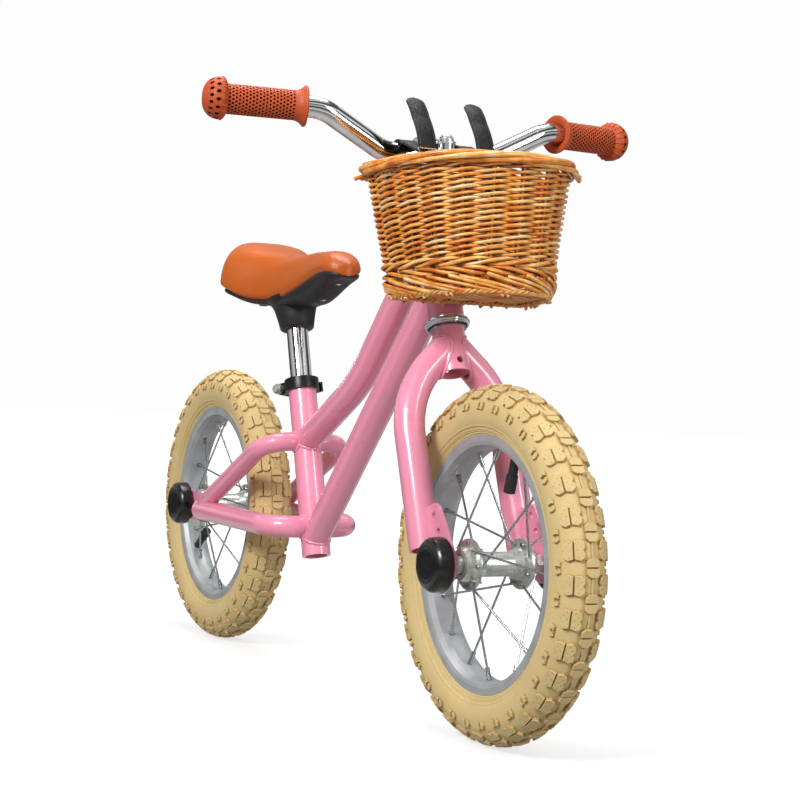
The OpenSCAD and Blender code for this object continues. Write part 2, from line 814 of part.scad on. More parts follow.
// The bolt stands upright through the clamp's ears, with a domed head on top and a nut below.
module bar_clamp_bolt() {
    dome_r = 6.9;
    head_h = 7.6;
    washer_t = 2;
    nut_h = 4.5;
    color("silver") on_clamp() translate([clamp_bolt_x, 0, 0]) {
        translate([0, 0, -ear_half_h - 0.5]) cylinder(r = 2.5, h = 2 * ear_half_h + 1);
        translate([0, 0, ear_half_h]) cylinder(r = 8.6, h = washer_t);
        translate([0, 0, ear_half_h + washer_t - 0.1]) intersection() {
            cylinder(r = 6.6, h = head_h);
            translate([0, 0, head_h - dome_r]) sphere(r = dome_r);
        }
        translate([0, 0, -ear_half_h - nut_h]) cylinder(r = 5.6, h = nut_h, $fn = 6);
    }
}

bar_half = [[bar_x, 51, bar_z], grip_end - (grip_l + 14) * grip_dir, grip_end - bar_inset * grip_dir];
bar_bends = [34, 38];

module handlebar() {
    way = concat([for (i = [2:-1:0]) [bar_half[i].x, -bar_half[i].y, bar_half[i].z]], bar_half);
    color("silver") pipe(way, [bar_bends[1], bar_bends[0], bar_bends[0], bar_bends[1]], bar_r, 1.8);
}

// A rubber grip: flared inner flange, body, and a domed end
module grip() {
    body_r = bar_r + 3.6;
    flange_r = 18;
    dome_r = 18.4;
    inner = grip_end - grip_l * grip_dir;
    profile = [[0, grip_l], [7, grip_l - 0.9], [12.5, grip_l - 4], [16.6, grip_l - 9],
               [dome_r, grip_l - 15.5],
               [dome_r - 1, grip_l - 19.5], [body_r + 1.5, grip_l - 19.5], [body_r, 12], [flange_r, 2.5],
               [flange_r, 0], [bar_r, 0], [bar_r, grip_l - bar_inset], [0, grip_l - bar_inset]];
    translate(inner)
        rotate([0, acos(grip_dir.z / norm(grip_dir)), atan2(grip_dir.y, grip_dir.x)])
            rotate_extrude() polygon(profile);
}

module grips() {
    color([0.72, 0.33, 0.18]) both_sides() grip();
}

// ---- Basket -------------------------------------------------------------------------------

// Outline seen from above: a straight back on the Y axis and a rounded front
function d_outline(width, depth, inset = 0) = [
    for (i = [0:36]) let (a = -90 + 5 * i)
        [inset + (depth - 2 * inset) * pow(abs(cos(a)), 0.87),
         (width / 2 - inset) * sign(sin(a)) * pow(abs(sin(a)), 0.87)]];

module d_slab(x, z, width, depth, inset) {
    translate([x, 0, z]) linear_extrude(0.1) polygon(d_outline(width, depth, inset));
}

module on_basket() {
    translate([basket_pivot_x, 0, bar_z]) rotate([0, basket_tip, 0])
        translate([-basket_pivot_x, 0, -bar_z]) children();
}

// Tapered wall with a rolled rim around its top and a wider foot border
module basket() {
    floor_h = 8;
    rim_h = 13;
    border_h = 9;
    rim_over = 6;
    foot_over = 3;
    foot_z = basket_top_z - basket_h;
    color([0.80, 0.58, 0.30]) on_basket() difference() {
        union() {
            hull() {
                d_slab(basket_foot_x + 1, foot_z + 1, basket_foot_w - 2 * foot_over,
                    basket_foot_depth - foot_over - 1, 0);
                d_slab(basket_back_x + 1, basket_top_z - 1, basket_w - 2 * rim_over,
                    basket_depth - rim_over - 1, 0);
            }
            translate([basket_back_x, 0, basket_top_z - rim_h]) linear_extrude(rim_h)
                polygon(d_outline(basket_w, basket_depth));
            translate([basket_foot_x, 0, foot_z]) linear_extrude(border_h)
                polygon(d_outline(basket_foot_w, basket_foot_depth));
        }
        hull() {
            d_slab(basket_foot_x + 1, foot_z + floor_h, basket_foot_w - 2 * foot_over,
                basket_foot_depth - foot_over - 1, basket_wall);
            d_slab(basket_back_x + 1, basket_top_z + 0.1, basket_w - 2 * rim_over,
                basket_depth - rim_over - 1, basket_wall);
        }
        both_sides() translate([basket_back_x - 8, strap_y - strap_w / 2 - 1, strap_slot_z - 3.6])
            cube([20, strap_w + 2, 7.2]);
    }
}

// Each strap passes over the bar, down inside the basket's back and out through a slot in it.
// Its buckle lies at the loop's front corner, and its free end stands up beside the buckle.
strap_corner = [204.5, 494];
strap_stops = [[bar_x, bar_z, bar_r + 0.35], [strap_corner.x, strap_corner.y, 5.5], [206.5, 475, 6.4]];

module strap_outline(more) {
    hull() for (c = strap_stops) translate([c[0], c[1]]) circle(r = c[2] + more, $fn = 40);
}

module strap_tail() {
    translate(strap_corner) polygon([
        [1.2, 6.3], [2, 12.1], [0.5, 18.4], [-2.6, 25], [-7.1, 32.1], [-12.7, 39.2], [-18.8, 45.3],
        [-25.4, 50.4], [-32.4, 54.9], [-33.6, 53.1], [-26.6, 48.6], [-20.2, 43.7], [-14.3, 37.8],
        [-8.9, 30.9], [-4.4, 24], [-1.5, 17.6], [0, 11.9], [-0.8, 6.7]]);
}

module basket_straps() {
    color([0.07, 0.07, 0.07]) for (y = [-strap_y, strap_y])
        translate([0, y + strap_w / 2, 0]) rotate([90, 0, 0]) linear_extrude(strap_w) union() {
            difference() {
                strap_outline(strap_t);
                strap_outline(0);
            }
            strap_tail();
        }
}

// A wire frame in front of the strap's corner, lying at 45 degrees
module strap_buckles() {
    wire = 1.9;
    long = 11.5;
    bar_l = strap_w + 6;
    color("gainsboro") for (y = [-strap_y, strap_y])
        translate([strap_corner.x + 7.4, y, strap_corner.y + 6]) rotate([0, 45, 0]) {
            for (side = [-1, 1]) {
                translate([-long / 2, side * (bar_l / 2 - wire / 2) - wire / 2, -wire / 2])
                    cube([long, wire, wire]);
                translate([side * (long / 2 - wire / 2) - wire / 2, -bar_l / 2, -wire / 2])
                    cube([wire, bar_l, wire]);
            }
        }
}

// ---- Seat post and saddle -------------------------------------------------------------------

module seat_post() {
    color("silver") on_seat_tube(post_top_s - post_l) difference() {
        cylinder(r = post_d / 2, h = post_l);
        translate([0, 0, -eps]) cylinder(r = post_d / 2 - 1.8, h = post_l + 2 * eps);
    }
}

// Saddle shape: t runs from 0 at the tail to 1 at the tip of the nose.
function ramp(t) = t <= 0 ? 0 : t >= 1 ? 1 : t * t * (3 - 2 * t);
function saddle_x(t) = saddle_nose_x - saddle_l * (1 - t);
function end_round(t) = sqrt(max(0, 1 - pow(max(0, (0.16 - t) / 0.16), 2)))
    * sqrt(max(0, 1 - pow(max(0, (t - 0.91) / 0.09), 2)));
function saddle_half(t) = (saddle_w / 2 - (saddle_w / 2 - 25) * ramp((t - 0.13) / 0.32)
    - 5 * ramp((t - 0.45) / 0.3)) * end_round(t);
function saddle_top(t) = 441 - 19 * ramp((t - 0.02) / 0.5) + 3 * ramp((t - 0.5) / 0.25)
    - 14 * pow(max(0, (t - 0.88) / 0.12), 2) - 22 * pow(max(0, (0.07 - t) / 0.07), 2);
function saddle_edge(t) = 389.5 - 16 * ramp((t - 0.1) / 0.2) + 26 * ramp((t - 0.4) / 0.52);
function saddle_keel(t) = 374 - 6 * ramp(t / 0.35) + 4 * ramp((t - 0.4) / 0.3)
    + 25 * ramp((t - 0.66) / 0.34);

// One section, widest at the height mid; square 0.5 is boxy and 1 is round.
function saddle_ring(t, inset, low, mid, high, square) = let (half = max(0.8, saddle_half(t) - inset)) [
    for (k = [0:saddle_sides - 1]) let (a = -360 * k / saddle_sides)
        [saddle_x(t), half * sign(cos(a)) * pow(abs(cos(a)), square),
         mid + (sin(a) > 0 ? high - mid : mid - low) * sin(a)]];

module loft(rings) {
    n = len(rings[0]);
    m = len(rings);
    points = [for (r = rings) for (p = r) p];
    sides = [for (i = [0:m - 2]) for (k = [0:n - 1])
        [i * n + k, i * n + (k + 1) % n, (i + 1) * n + (k + 1) % n, (i + 1) * n + k]];
    first = [for (k = [n - 1:-1:0]) k];
    final = [for (k = [0:n - 1]) (m - 1) * n + k];
    polyhedron(points = points, faces = concat(sides, [first], [final]), convexity = 6);
}

function saddle_t(i) = 0.012 + 0.976 * i / saddle_steps;

module saddle_cover_solid() {
    loft([for (i = [0:saddle_steps]) let (t = saddle_t(i), low = saddle_edge(t), high = saddle_top(t))
        saddle_ring(t, 0, low, low + min(9, 0.35 * (high - low)), high, 0.52 + 0.25 * t)]);
}

module saddle_pad() {
    color([0.80, 0.36, 0.10]) saddle_cover_solid();
}

// Moulded shell under the pad, with a tapered socket around the seat post
module saddle_base() {
    color([0.10, 0.10, 0.10]) difference() {
        union() {
            loft([for (i = [3:saddle_steps - 1]) let (t = saddle_t(i), edge = saddle_edge(t))
                saddle_ring(t, 2, min(edge - 2.5, saddle_keel(t)), edge + 3, edge + 8, 0.6)]);
            on_seat_tube(socket_s) cylinder(r1 = 17.5, r2 = 24, h = 32);
        }
        saddle_cover_solid();
        on_seat_tube(socket_s - eps) cylinder(r = post_d / 2 + slack, h = post_top_s - socket_s + 2 * eps);
        for (p = screw_places) screw_at(p, 4.1, 2.05, 8);
    }
}

// Where the screws go into the shell from below: distance from the tip of the nose, and side
screw_places = [[26, 0], [60, 0], [176, 16], [176, -16]];

module screw_at(p, cap_r, shank_r, sink = 0) {
    t = 1 - p.x / saddle_l;
    foot = min(saddle_edge(t) - 2.5, saddle_keel(t)) + (abs(p.y) > 1 ? 1.2 : 0.5);
    translate([saddle_x(t), p.y, foot]) {
        translate([0, 0, -sink]) cylinder(r = cap_r, h = 3 + sink);
        translate([0, 0, 2.9]) cylinder(r = shank_r, h = 2.9);
    }
}

module saddle_screws() {
    color("dimgray") for (p = screw_places) screw_at(p, 4, 2);
}

// ---- Assembly -------------------------------------------------------------------------------

seat_tube();
top_tube();
down_tube();
head_tube();
seat_stays();
chain_stays();
rear_dropouts();
upper_headset_cup();
lower_headset_cup();
seat_clamp_collar();
seat_clamp_skewer();
seat_clamp_nut();
rear_axle();
rear_axle_cones();
rear_axle_locknuts();
rear_axle_nuts();
rear_axle_caps();
steerer();
fork_legs();
fork_dropouts();
crown_race();
headset_balls();
headset_top_race();
headset_locknut();
front_axle();
front_axle_cones();
front_axle_locknuts();
front_axle_nuts();
front_axle_caps();
front_tyre();
front_inner_tube();
front_rim();
front_spokes();
front_nipples();
front_hub();
front_hub_balls();
front_valve();
rear_tyre();
rear_inner_tube();
rear_rim();
rear_spokes();
rear_nipples();
rear_hub();
rear_hub_balls();
rear_valve();
stem();
stem_expander_bolt();
stem_wedge();
bar_clamp_bolt();
handlebar();
grips();
basket();
basket_straps();
strap_buckles();
seat_post();
saddle_base();
saddle_pad();
saddle_screws();
clamp_lever();
clamp_cam_pin();
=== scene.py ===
"""Looks of a child's balance bike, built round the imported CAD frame. Lengths are in metres."""

import math

import bpy
import numpy as np
from mathutils import Matrix, Vector


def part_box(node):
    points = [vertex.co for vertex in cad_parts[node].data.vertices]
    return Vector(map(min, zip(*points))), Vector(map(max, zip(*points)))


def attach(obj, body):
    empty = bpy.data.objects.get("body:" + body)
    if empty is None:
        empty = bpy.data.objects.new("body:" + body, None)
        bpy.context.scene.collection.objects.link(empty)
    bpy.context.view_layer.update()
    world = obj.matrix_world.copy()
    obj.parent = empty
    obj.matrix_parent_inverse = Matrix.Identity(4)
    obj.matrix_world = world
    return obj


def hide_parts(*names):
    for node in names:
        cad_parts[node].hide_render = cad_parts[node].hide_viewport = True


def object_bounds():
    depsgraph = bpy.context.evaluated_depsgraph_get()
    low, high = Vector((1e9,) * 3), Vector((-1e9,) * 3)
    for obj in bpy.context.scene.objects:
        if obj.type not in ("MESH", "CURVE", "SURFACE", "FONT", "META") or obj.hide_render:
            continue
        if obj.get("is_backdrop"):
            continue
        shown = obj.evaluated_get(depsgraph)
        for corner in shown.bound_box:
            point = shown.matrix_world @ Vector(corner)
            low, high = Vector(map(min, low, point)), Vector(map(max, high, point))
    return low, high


MM = 0.001
TAU = 2 * math.pi
X_AXIS = np.array([1.0, 0.0, 0.0])
Y_AXIS = np.array([0.0, 1.0, 0.0])
Z_AXIS = np.array([0.0, 0.0, 1.0])

FLOOR_GLOW, FULL_GLOW = 0.66, 0.98

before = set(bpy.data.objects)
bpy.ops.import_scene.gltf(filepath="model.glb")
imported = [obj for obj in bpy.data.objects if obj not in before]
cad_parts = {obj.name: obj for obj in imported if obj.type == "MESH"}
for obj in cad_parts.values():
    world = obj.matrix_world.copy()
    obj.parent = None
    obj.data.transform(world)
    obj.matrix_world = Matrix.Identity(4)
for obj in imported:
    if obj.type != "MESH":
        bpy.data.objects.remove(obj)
cad_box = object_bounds()
rng = np.random.default_rng(7)


# ---- Small geometry helpers

def unit(v):
    v = np.asarray(v, float)
    return v / np.linalg.norm(v)


def middle(node):
    low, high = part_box(node)
    return (np.array(low) + np.array(high)) / 2


def smooth_ramp(t):
    t = np.clip(t, 0.0, 1.0)
    return t * t * (3 - 2 * t)


def across(axis):
    """Two unit vectors at right angles to axis and to each other."""
    axis = unit(axis)
    helper = Z_AXIS if abs(axis[2]) < 0.9 else X_AXIS
    first = unit(np.cross(helper, axis))
    return first, np.cross(axis, first)


def turn_angles(count):
    """Angles evenly spaced all the way round."""
    return TAU * np.arange(count) / count


def run_along(points):
    """The distance along the line to each of its points."""
    return np.concatenate([[0], np.cumsum(np.linalg.norm(np.diff(points, axis=0), axis=1))])


def read_at(stops, run, points):
    """The places on a line at the distances in stops."""
    return np.stack([np.interp(stops, run, points[:, k]) for k in range(3)], axis=-1)


def directions(path, closed):
    """The way the line runs at each of its points."""
    ahead = np.roll(path, -1, axis=0) - np.roll(path, 1, axis=0) if closed else np.gradient(path, axis=0)
    return ahead / np.linalg.norm(ahead, axis=1)[:, None]


def even_points(points, step, closed=False):
    """The same line with points an equal distance of about step apart."""
    points = np.asarray(points, float)
    if closed:
        points = np.vstack([points, points[:1]])
    run = run_along(points)
    stops = np.linspace(0, run[-1], max(2, int(round(run[-1] / step))) + 1)
    return read_at(stops[:-1] if closed else stops, run, points)


def curve_through(points, per_span):
    """Catmull-Rom curve through points."""
    p = np.asarray(points, float)
    p = np.vstack([p[:1], p, p[-1:]])
    out = []
    for a, b, c, d in zip(p, p[1:], p[2:], p[3:]):
        for t in np.arange(per_span) / per_span:
            out.append(0.5 * (2 * b + (c - a) * t + (2 * a - 5 * b + 4 * c - d) * t ** 2
                              + (3 * b - a - 3 * c + d) * t ** 3))
    return np.array(out + [p[-1]])


class Shape:
    """Vertices, faces and the grain map of one piece. grain holds (around, along) in metres."""

    def __init__(self):
        self.verts, self.faces, self.marks, self.grain = [], [], [], []
        self.count = 0

    def add(self, verts, faces, mark=0, grain=None):
        verts = np.asarray(verts, float)
        self.verts.append(verts)
        self.grain.append(np.zeros((len(verts), 2)) if grain is None else grain)
        self.faces += [[i + self.count for i in f] for f in faces]
        self.marks += [mark] * len(faces)
        self.count += len(verts)

    def build(self, name, materials, sharp=None):
        mesh = bpy.data.meshes.new(name)
        verts = np.vstack(self.verts)
        mesh.from_pydata(verts.tolist(), [], self.faces)
        for m in materials:
            mesh.materials.append(m)
        mesh.polygons.foreach_set("material_index", self.marks)
        mesh.polygons.foreach_set("use_smooth", [True] * len(mesh.polygons))
        corner = np.empty(len(mesh.loops), int)
        mesh.loops.foreach_get("vertex_index", corner)
        layer = mesh.uv_layers.new(name="grain")
        layer.data.foreach_set("uv", np.vstack(self.grain)[corner].ravel())
        mesh.update()
        if sharp is not None:
            mesh.set_sharp_from_angle(angle=math.radians(sharp))
        obj = bpy.data.objects.new(name, mesh)
        bpy.context.scene.collection.objects.link(obj)
        return obj


def ring_faces(rings, sides, closed_run=False, closed_ring=True):
    """Quads between rings of the same number of points."""
    faces = []
    for i in range(rings if closed_run else rings - 1):
        j = (i + 1) % rings
        for k in range(sides if closed_ring else sides - 1):
            m = (k + 1) % sides
            faces.append([i * sides + k, i * sides + m, j * sides + m, j * sides + k])
    return faces


def add_rod(shape, path, radius, sides=8, closed=False, mark=0):
    """A rod along path with rounded ends. radius is one value or one for each point."""
    path = np.asarray(path, float)
    n = len(path)
    radius = np.broadcast_to(np.asarray(radius, float), (n,))
    ahead = directions(path, closed)
    side, first = across(ahead[0])[0], []
    for a in ahead:
        side = unit(side - a * np.dot(side, a))
        first.append(side)
    first = np.array(first)
    second = np.cross(ahead, first)
    angle = turn_angles(sides)
    ring = (np.cos(angle)[None, :, None] * first[:, None, :]
            + np.sin(angle)[None, :, None] * second[:, None, :])
    verts = (path[:, None, :] + ring * radius[:, None, None]).reshape(-1, 3)
    run = run_along(path)
    grain = np.stack([np.broadcast_to(angle[None, :] * radius[:, None], (n, sides)),
                      np.broadcast_to(run[:, None], (n, sides))], axis=2).reshape(-1, 2)
    faces = ring_faces(n, sides, closed_run=closed)
    if not closed:
        bulge = 0.35 * radius
        verts = np.vstack([verts, path[0] - ahead[0] * bulge[0], path[-1] + ahead[-1] * bulge[-1]])
        grain = np.vstack([grain, [[0, run[0]], [0, run[-1]]]])
        last = (n - 1) * sides
        for k in range(sides):
            m = (k + 1) % sides
            faces += [[n * sides, m, k], [n * sides + 1, last + k, last + m]]
    shape.add(verts, faces, mark, grain)


def add_lathe(shape, profile, origin, axis, steps, start=None):
    """profile holds (distance along the axis, radius) pairs, turned round axis at origin."""
    axis = unit(axis)
    first, second = across(axis) if start is None else (unit(start), np.cross(axis, unit(start)))
    profile = np.asarray(profile, float)
    angle = turn_angles(steps)
    spoke = np.cos(angle)[:, None] * first + np.sin(angle)[:, None] * second
    verts = (np.asarray(origin, float) + profile[None, :, :1] * axis
             + profile[None, :, 1:] * spoke[:, None, :])
    grain = np.stack([angle[:, None] * profile[None, :, 1],
                      np.broadcast_to(run_along(profile), (steps, len(profile)))], axis=2)
    faces = ring_faces(steps, len(profile), closed_run=True, closed_ring=False)
    shape.add(verts.reshape(-1, 3), faces, grain=grain.reshape(-1, 2))


def make_piece(shape, name, body, slot, replaced=(), others=(), sharp=None, finish=None):
    """Build the piece, hang it on its body, give it its finishes, and hide the CAD nodes it stands for."""
    obj = shape.build(name, [finishes[key] for key in (finish or slot, *others)], sharp)
    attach(obj, body)
    if replaced:
        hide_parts(*replaced)
    return obj


# ---- Materials

finishes = {}


class Nodes:
    """A node tree, with short ways to add nodes to it."""

    def __init__(self, tree):
        self.tree = tree

    def feed(self, socket, value):
        """Join an output to the socket, or set a constant on it."""
        if isinstance(value, bpy.types.NodeSocket):
            self.tree.links.new(value, socket)
        else:
            socket.default_value = value

    def node(self, kind, feeds=None, **settings):
        """A new node. feeds holds what goes into its sockets, by name or number."""
        made = self.tree.nodes.new("ShaderNode" + kind)
        for key, value in settings.items():
            setattr(made, key, value)
        for key, value in (feeds or {}).items():
            self.feed(made.inputs[key], value)
        return made

    def span(self, value, low, high, to_low=0.0, to_high=1.0):
        """value between low and high, mapped on to to_low and to_high."""
        return self.node("MapRange", {"Value": value, "From Min": low, "From Max": high,
                                      "To Min": to_low, "To Max": to_high}).outputs["Result"]

    def sums(self, a, b, operation="ADD"):
        return self.node("Math", {0: a, 1: b}, operation=operation).outputs[0]

    def ramp(self, value, stops):
        """Colours by value. stops holds (place, (r, g, b)) pairs, in linear light."""
        made = self.node("ValToRGB", {"Fac": value})
        bar = made.color_ramp.elements
        while len(bar) < len(stops):
            bar.new(0.5)
        for element, (place, rgb) in zip(bar, stops):
            element.position = place
            element.color = (*rgb, 1)
        return made.outputs["Color"]

    def mix(self, amount, a, b, blend="MIX"):
        return self.node("Mix", {0: amount, 6: a, 7: b}, data_type="RGBA", blend_type=blend).outputs[2]


class Finish(Nodes):
    """A material in object-space coordinates, with ways to add noise and relief."""

    def __init__(self, name):
        finishes[name] = self.material = bpy.data.materials.new(name)
        self.material.use_nodes = True
        super().__init__(self.material.node_tree)
        self.shader = self.tree.nodes["Principled BSDF"]
        self.place = self.node("TexCoord").outputs["Object"]
        self.height = None

    def noise(self, size, detail=3.0, rough=0.5, coords=None):
        """Noise with features about size metres across, from 0 to 1."""
        return self.node("TexNoise", {"Vector": self.place if coords is None else coords, "Scale": 1 / size,
                                      "Detail": detail, "Roughness": rough}).outputs["Fac"]

    def cells(self, size):
        """The distance to the edge of a cell about size metres across."""
        return self.node("TexVoronoi", {"Vector": self.place, "Scale": 1 / size},
                         feature="DISTANCE_TO_EDGE").outputs["Distance"]

    def openness(self, reach):
        """How open the surface is within reach metres: 0 in a crevice and 1 out in the open."""
        return self.node("AmbientOcclusion", {"Distance": reach}, samples=8).outputs["AO"]

    def set(self, **values):
        """Constants or outputs, straight on the shader's own sockets."""
        for key, value in values.items():
            self.feed(self.shader.inputs[key.replace("_", " ")], value)
        return self.material

    def colour(self, out):
        self.set(Base_Color=out)

    def roughness(self, out):
        self.set(Roughness=out)

    def bump(self, out, depth):
        """out from 0 to 1 as relief depth metres high, on top of any relief already there."""
        feeds = {"Height": out, "Distance": depth, "Strength": 1.0}
        if self.height is not None:
            feeds["Normal"] = self.height
        self.height = self.node("Bump", feeds).outputs["Normal"]
        self.set(Normal=self.height)


def srgb(r, g, b):
    """Linear light from the usual 0 to 255 screen values."""
    return tuple(((c / 255 + 0.055) / 1.055) ** 2.4 if c > 10 else c / 255 / 12.92 for c in (r, g, b))


def tint(rgb, factor):
    return tuple(min(1.0, c * factor) for c in rgb)


def plain_finish(name, screen, vary, patch, rough, rough_vary, grain, grain_depth, **values):
    """Colour that varies by vary over patches, roughness that varies, and a fine grain in relief."""
    f, rgb = Finish(name), srgb(*screen)
    f.colour(f.ramp(f.noise(patch, 4.0), [(0.3, tint(rgb, 1 - vary)), (0.7, tint(rgb, 1 + vary))]))
    f.roughness(f.span(f.noise(patch * 0.4, 3.0), 0.3, 0.7, rough - rough_vary, rough + rough_vary))
    f.bump(f.noise(grain, 2.0), grain_depth)
    f.set(**values)


def metal(name, cloud, stops, rough, grain, metallic=1.0, rough_cloud=None):
    """Metal with a cloudy colour. The roughness follows the same clouds, or its own."""
    f = Finish(name)
    clouds = f.noise(*cloud)
    f.colour(f.ramp(clouds, stops))
    f.roughness(f.span(f.noise(*rough_cloud) if rough_cloud else clouds, *rough))
    size, detail, depth = grain
    f.bump(f.noise(size, detail), depth)
    f.set(Metallic=metallic)


def wire_finish(name, *screen):
    """Drawn wire: bright, with scratches and dull patches."""
    rgb = srgb(*screen)
    metal(name, (0.004, 5.0, 0.7), [(0.3, tint(rgb, 0.7)), (0.7, rgb)], (0.3, 0.7, 0.34, 0.18),
          (0.0007, 2.0, 0.00002))


def frame_paint():
    f = Finish("frame_paint")
    pink = srgb(238, 146, 173)
    f.colour(f.ramp(f.noise(0.09, 3.0), [(0.3, tint(pink, 0.96)), (0.7, tint(pink, 1.04))]))
    f.roughness(f.span(f.noise(0.02, 3.0), 0.3, 0.7, 0.26, 0.36))
    f.bump(f.noise(0.0035, 1.0), 0.00003)
    f.set(Coat_Weight=0.9, Coat_Roughness=0.06, Specular_IOR_Level=0.5)


def tyre_tan():
    f = Finish("tyre_tan")
    broad, fine = f.noise(0.035, 4.0), f.noise(0.004, 5.0, 0.65)
    tan = srgb(211, 186, 130)
    base = f.ramp(broad, [(0.3, tint(tan, 0.9)), (0.7, tint(tan, 1.06))])
    specks = f.ramp(fine, [(0.25, tint(tan, 0.72)), (0.48, tan)])
    # Painted shade: the colour darkens in the crevices round the knobs, by how enclosed the surface is
    shaded = f.ramp(f.openness(0.004), [(0.25, srgb(200, 166, 116)), (0.8, (1.0, 1.0, 1.0))])
    f.colour(f.mix(1.0, f.mix(0.35, base, specks), shaded, "MULTIPLY"))
    f.roughness(f.span(fine, 0.3, 0.7, 0.62, 0.8))
    f.bump(f.noise(0.0011, 3.0), 0.00009)
    f.set(Specular_IOR_Level=0.35, Sheen_Weight=0.08)


def willow():
    f = Finish("willow")
    grain_map = f.node("UVMap", uv_map="grain").outputs["UV"]
    along_cane = f.node("Mapping", {"Vector": grain_map, "Scale": (1.0, 0.05, 1.0)}).outputs["Vector"]
    own = f.node("NewGeometry").outputs["Random Per Island"]
    streaks = f.noise(0.001, 3.0, coords=along_cane)
    blotches = f.noise(0.012, 4.0)
    honey = [(0.32, srgb(212, 110, 22)), (0.48, srgb(240, 150, 50)), (0.64, srgb(252, 186, 92)),
             (0.84, srgb(255, 222, 166))]
    tone = f.sums(f.sums(own, 0.3, "MULTIPLY"), f.sums(blotches, 0.85, "MULTIPLY"))
    base = f.ramp(tone, honey)
    dark = f.ramp(streaks, [(0.38, srgb(150, 72, 20)), (0.54, (1.0, 1.0, 1.0))])
    cane = f.mix(0.55, base, dark, "MULTIPLY")
    # Painted shade: the colour darkens in the gaps between the rods, by how enclosed the surface is
    shade = f.ramp(f.openness(0.007), [(0.1, srgb(96, 38, 10)), (0.7, (1.0, 1.0, 1.0))])
    f.colour(f.mix(1.0, cane, shade, "MULTIPLY"))
    f.roughness(f.span(streaks, 0.3, 0.7, 0.3, 0.5))
    f.bump(streaks, 0.00012)
    f.set(Coat_Weight=0.4, Coat_Roughness=0.2)


def strap_leather():
    f = Finish("strap_leather")
    wear = f.noise(0.01, 5.0, 0.7)
    f.colour(f.ramp(wear, [(0.35, srgb(11, 10, 11)), (0.75, srgb(30, 29, 30))]))
    f.roughness(f.span(wear, 0.3, 0.75, 0.42, 0.6))
    f.bump(f.span(f.cells(0.0011), 0.0, 0.25), 0.00007)
    f.bump(wear, 0.0002)
    f.set(Specular_IOR_Level=0.35)


def saddle_cover():
    f = Finish("saddle_cover")
    broad, fine = f.noise(0.05, 3.0), f.noise(0.003, 5.0, 0.6)
    orange = srgb(188, 88, 10)
    f.colour(f.mix(0.25, f.ramp(broad, [(0.3, tint(orange, 0.92)), (0.7, tint(orange, 1.06))]),
                   f.ramp(fine, [(0.3, tint(orange, 0.8)), (0.6, tint(orange, 1.05))])))
    f.roughness(f.span(fine, 0.3, 0.7, 0.3, 0.44))
    f.bump(f.span(f.cells(0.0013), 0.0, 0.2), 0.00005)
    f.bump(f.noise(0.012, 2.0), 0.0002)
    f.set(Specular_IOR_Level=0.45, Coat_Weight=0.15, Coat_Roughness=0.25)


for make in (frame_paint, tyre_tan, willow, strap_leather, saddle_cover):
    make()
metal("chrome", (0.03, 5.0, 0.6), [(0.3, (0.62, 0.63, 0.65)), (0.75, (0.86, 0.86, 0.87))],
      (0.35, 0.75, 0.05, 0.13), (0.006, 2.0, 0.000015))
metal("zinc", (0.006, 5.0, 0.65),
      [(0.25, srgb(158, 163, 158)), (0.5, srgb(200, 204, 198)), (0.8, srgb(226, 228, 220))],
      (0.3, 0.75, 0.42, 0.22), (0.0012, 3.0, 0.00004), 0.7)
metal("rim_alloy", (0.02, 4.0), [(0.3, srgb(168, 172, 174)), (0.7, srgb(190, 194, 196))],
      (0.3, 0.7, 0.36, 0.5), (0.0006, 2.0, 0.00002), 0.45, (0.004, 3.0))
wire_finish("spoke_steel", 196, 200, 200)
wire_finish("ball_steel", 200, 202, 206)
wire_finish("buckle_wire", 150, 124, 98)
plain_finish("cap_black", (14, 14, 15), 0.2, 0.01, 0.32, 0.06, 0.0009, 0.00002, Coat_Weight=0.3,
             Coat_Roughness=0.18)
plain_finish("clamp_black", (18, 18, 20), 0.2, 0.008, 0.34, 0.08, 0.0006, 0.00003, Metallic=0.3)
plain_finish("tube_rubber", (34, 33, 34), 0.2, 0.01, 0.6, 0.08, 0.0008, 0.00006)
plain_finish("grip_rubber", (184, 76, 32), 0.07, 0.015, 0.56, 0.07, 0.0008, 0.00005,
             Specular_IOR_Level=0.4)
plain_finish("base_plastic", (27, 27, 29), 0.15, 0.012, 0.5, 0.08, 0.0007, 0.00008)
plain_finish("stitch_thread", (92, 88, 84), 0.2, 0.002, 0.7, 0.1, 0.0003, 0.00005)
# Darker tan for the knobs' side walls: painted shade along the knob edges
plain_finish("knob_side_painted_shade", (182, 148, 94), 0.12, 0.004, 0.75, 0.05, 0.0008, 0.00005)
plain_finish("pin_mark", (150, 112, 62), 0.1, 0.003, 0.8, 0.05, 0.0006, 0.00003)
# Dark brown for the inside of the grip holes: painted shade in the hollows
plain_finish("grip_hollow_painted_shade", (92, 34, 18), 0.1, 0.004, 0.8, 0.08, 0.0008, 0.00005)

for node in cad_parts.values():
    for entry in node.material_slots:
        entry.material = finishes[entry.material.name.split(".")[0]]


# ---- Camera, floor and light

def place_camera():
    azimuth, pitch, roll = math.radians(62.93), math.radians(0.95), math.radians(2.48)
    data = bpy.data.cameras.new("camera")
    data.sensor_width, data.lens, data.clip_end = 36, 83.448, 50
    camera = bpy.data.objects.new("camera", data)
    camera.matrix_world = (Matrix.Translation((1.6439, -0.7802, 0.3103)) @ Matrix.Rotation(azimuth, 4, "Z")
                           @ Matrix.Rotation(math.pi / 2 - pitch, 4, "X") @ Matrix.Rotation(roll, 4, "Z"))
    bpy.context.scene.collection.objects.link(camera)
    bpy.context.scene.camera = camera


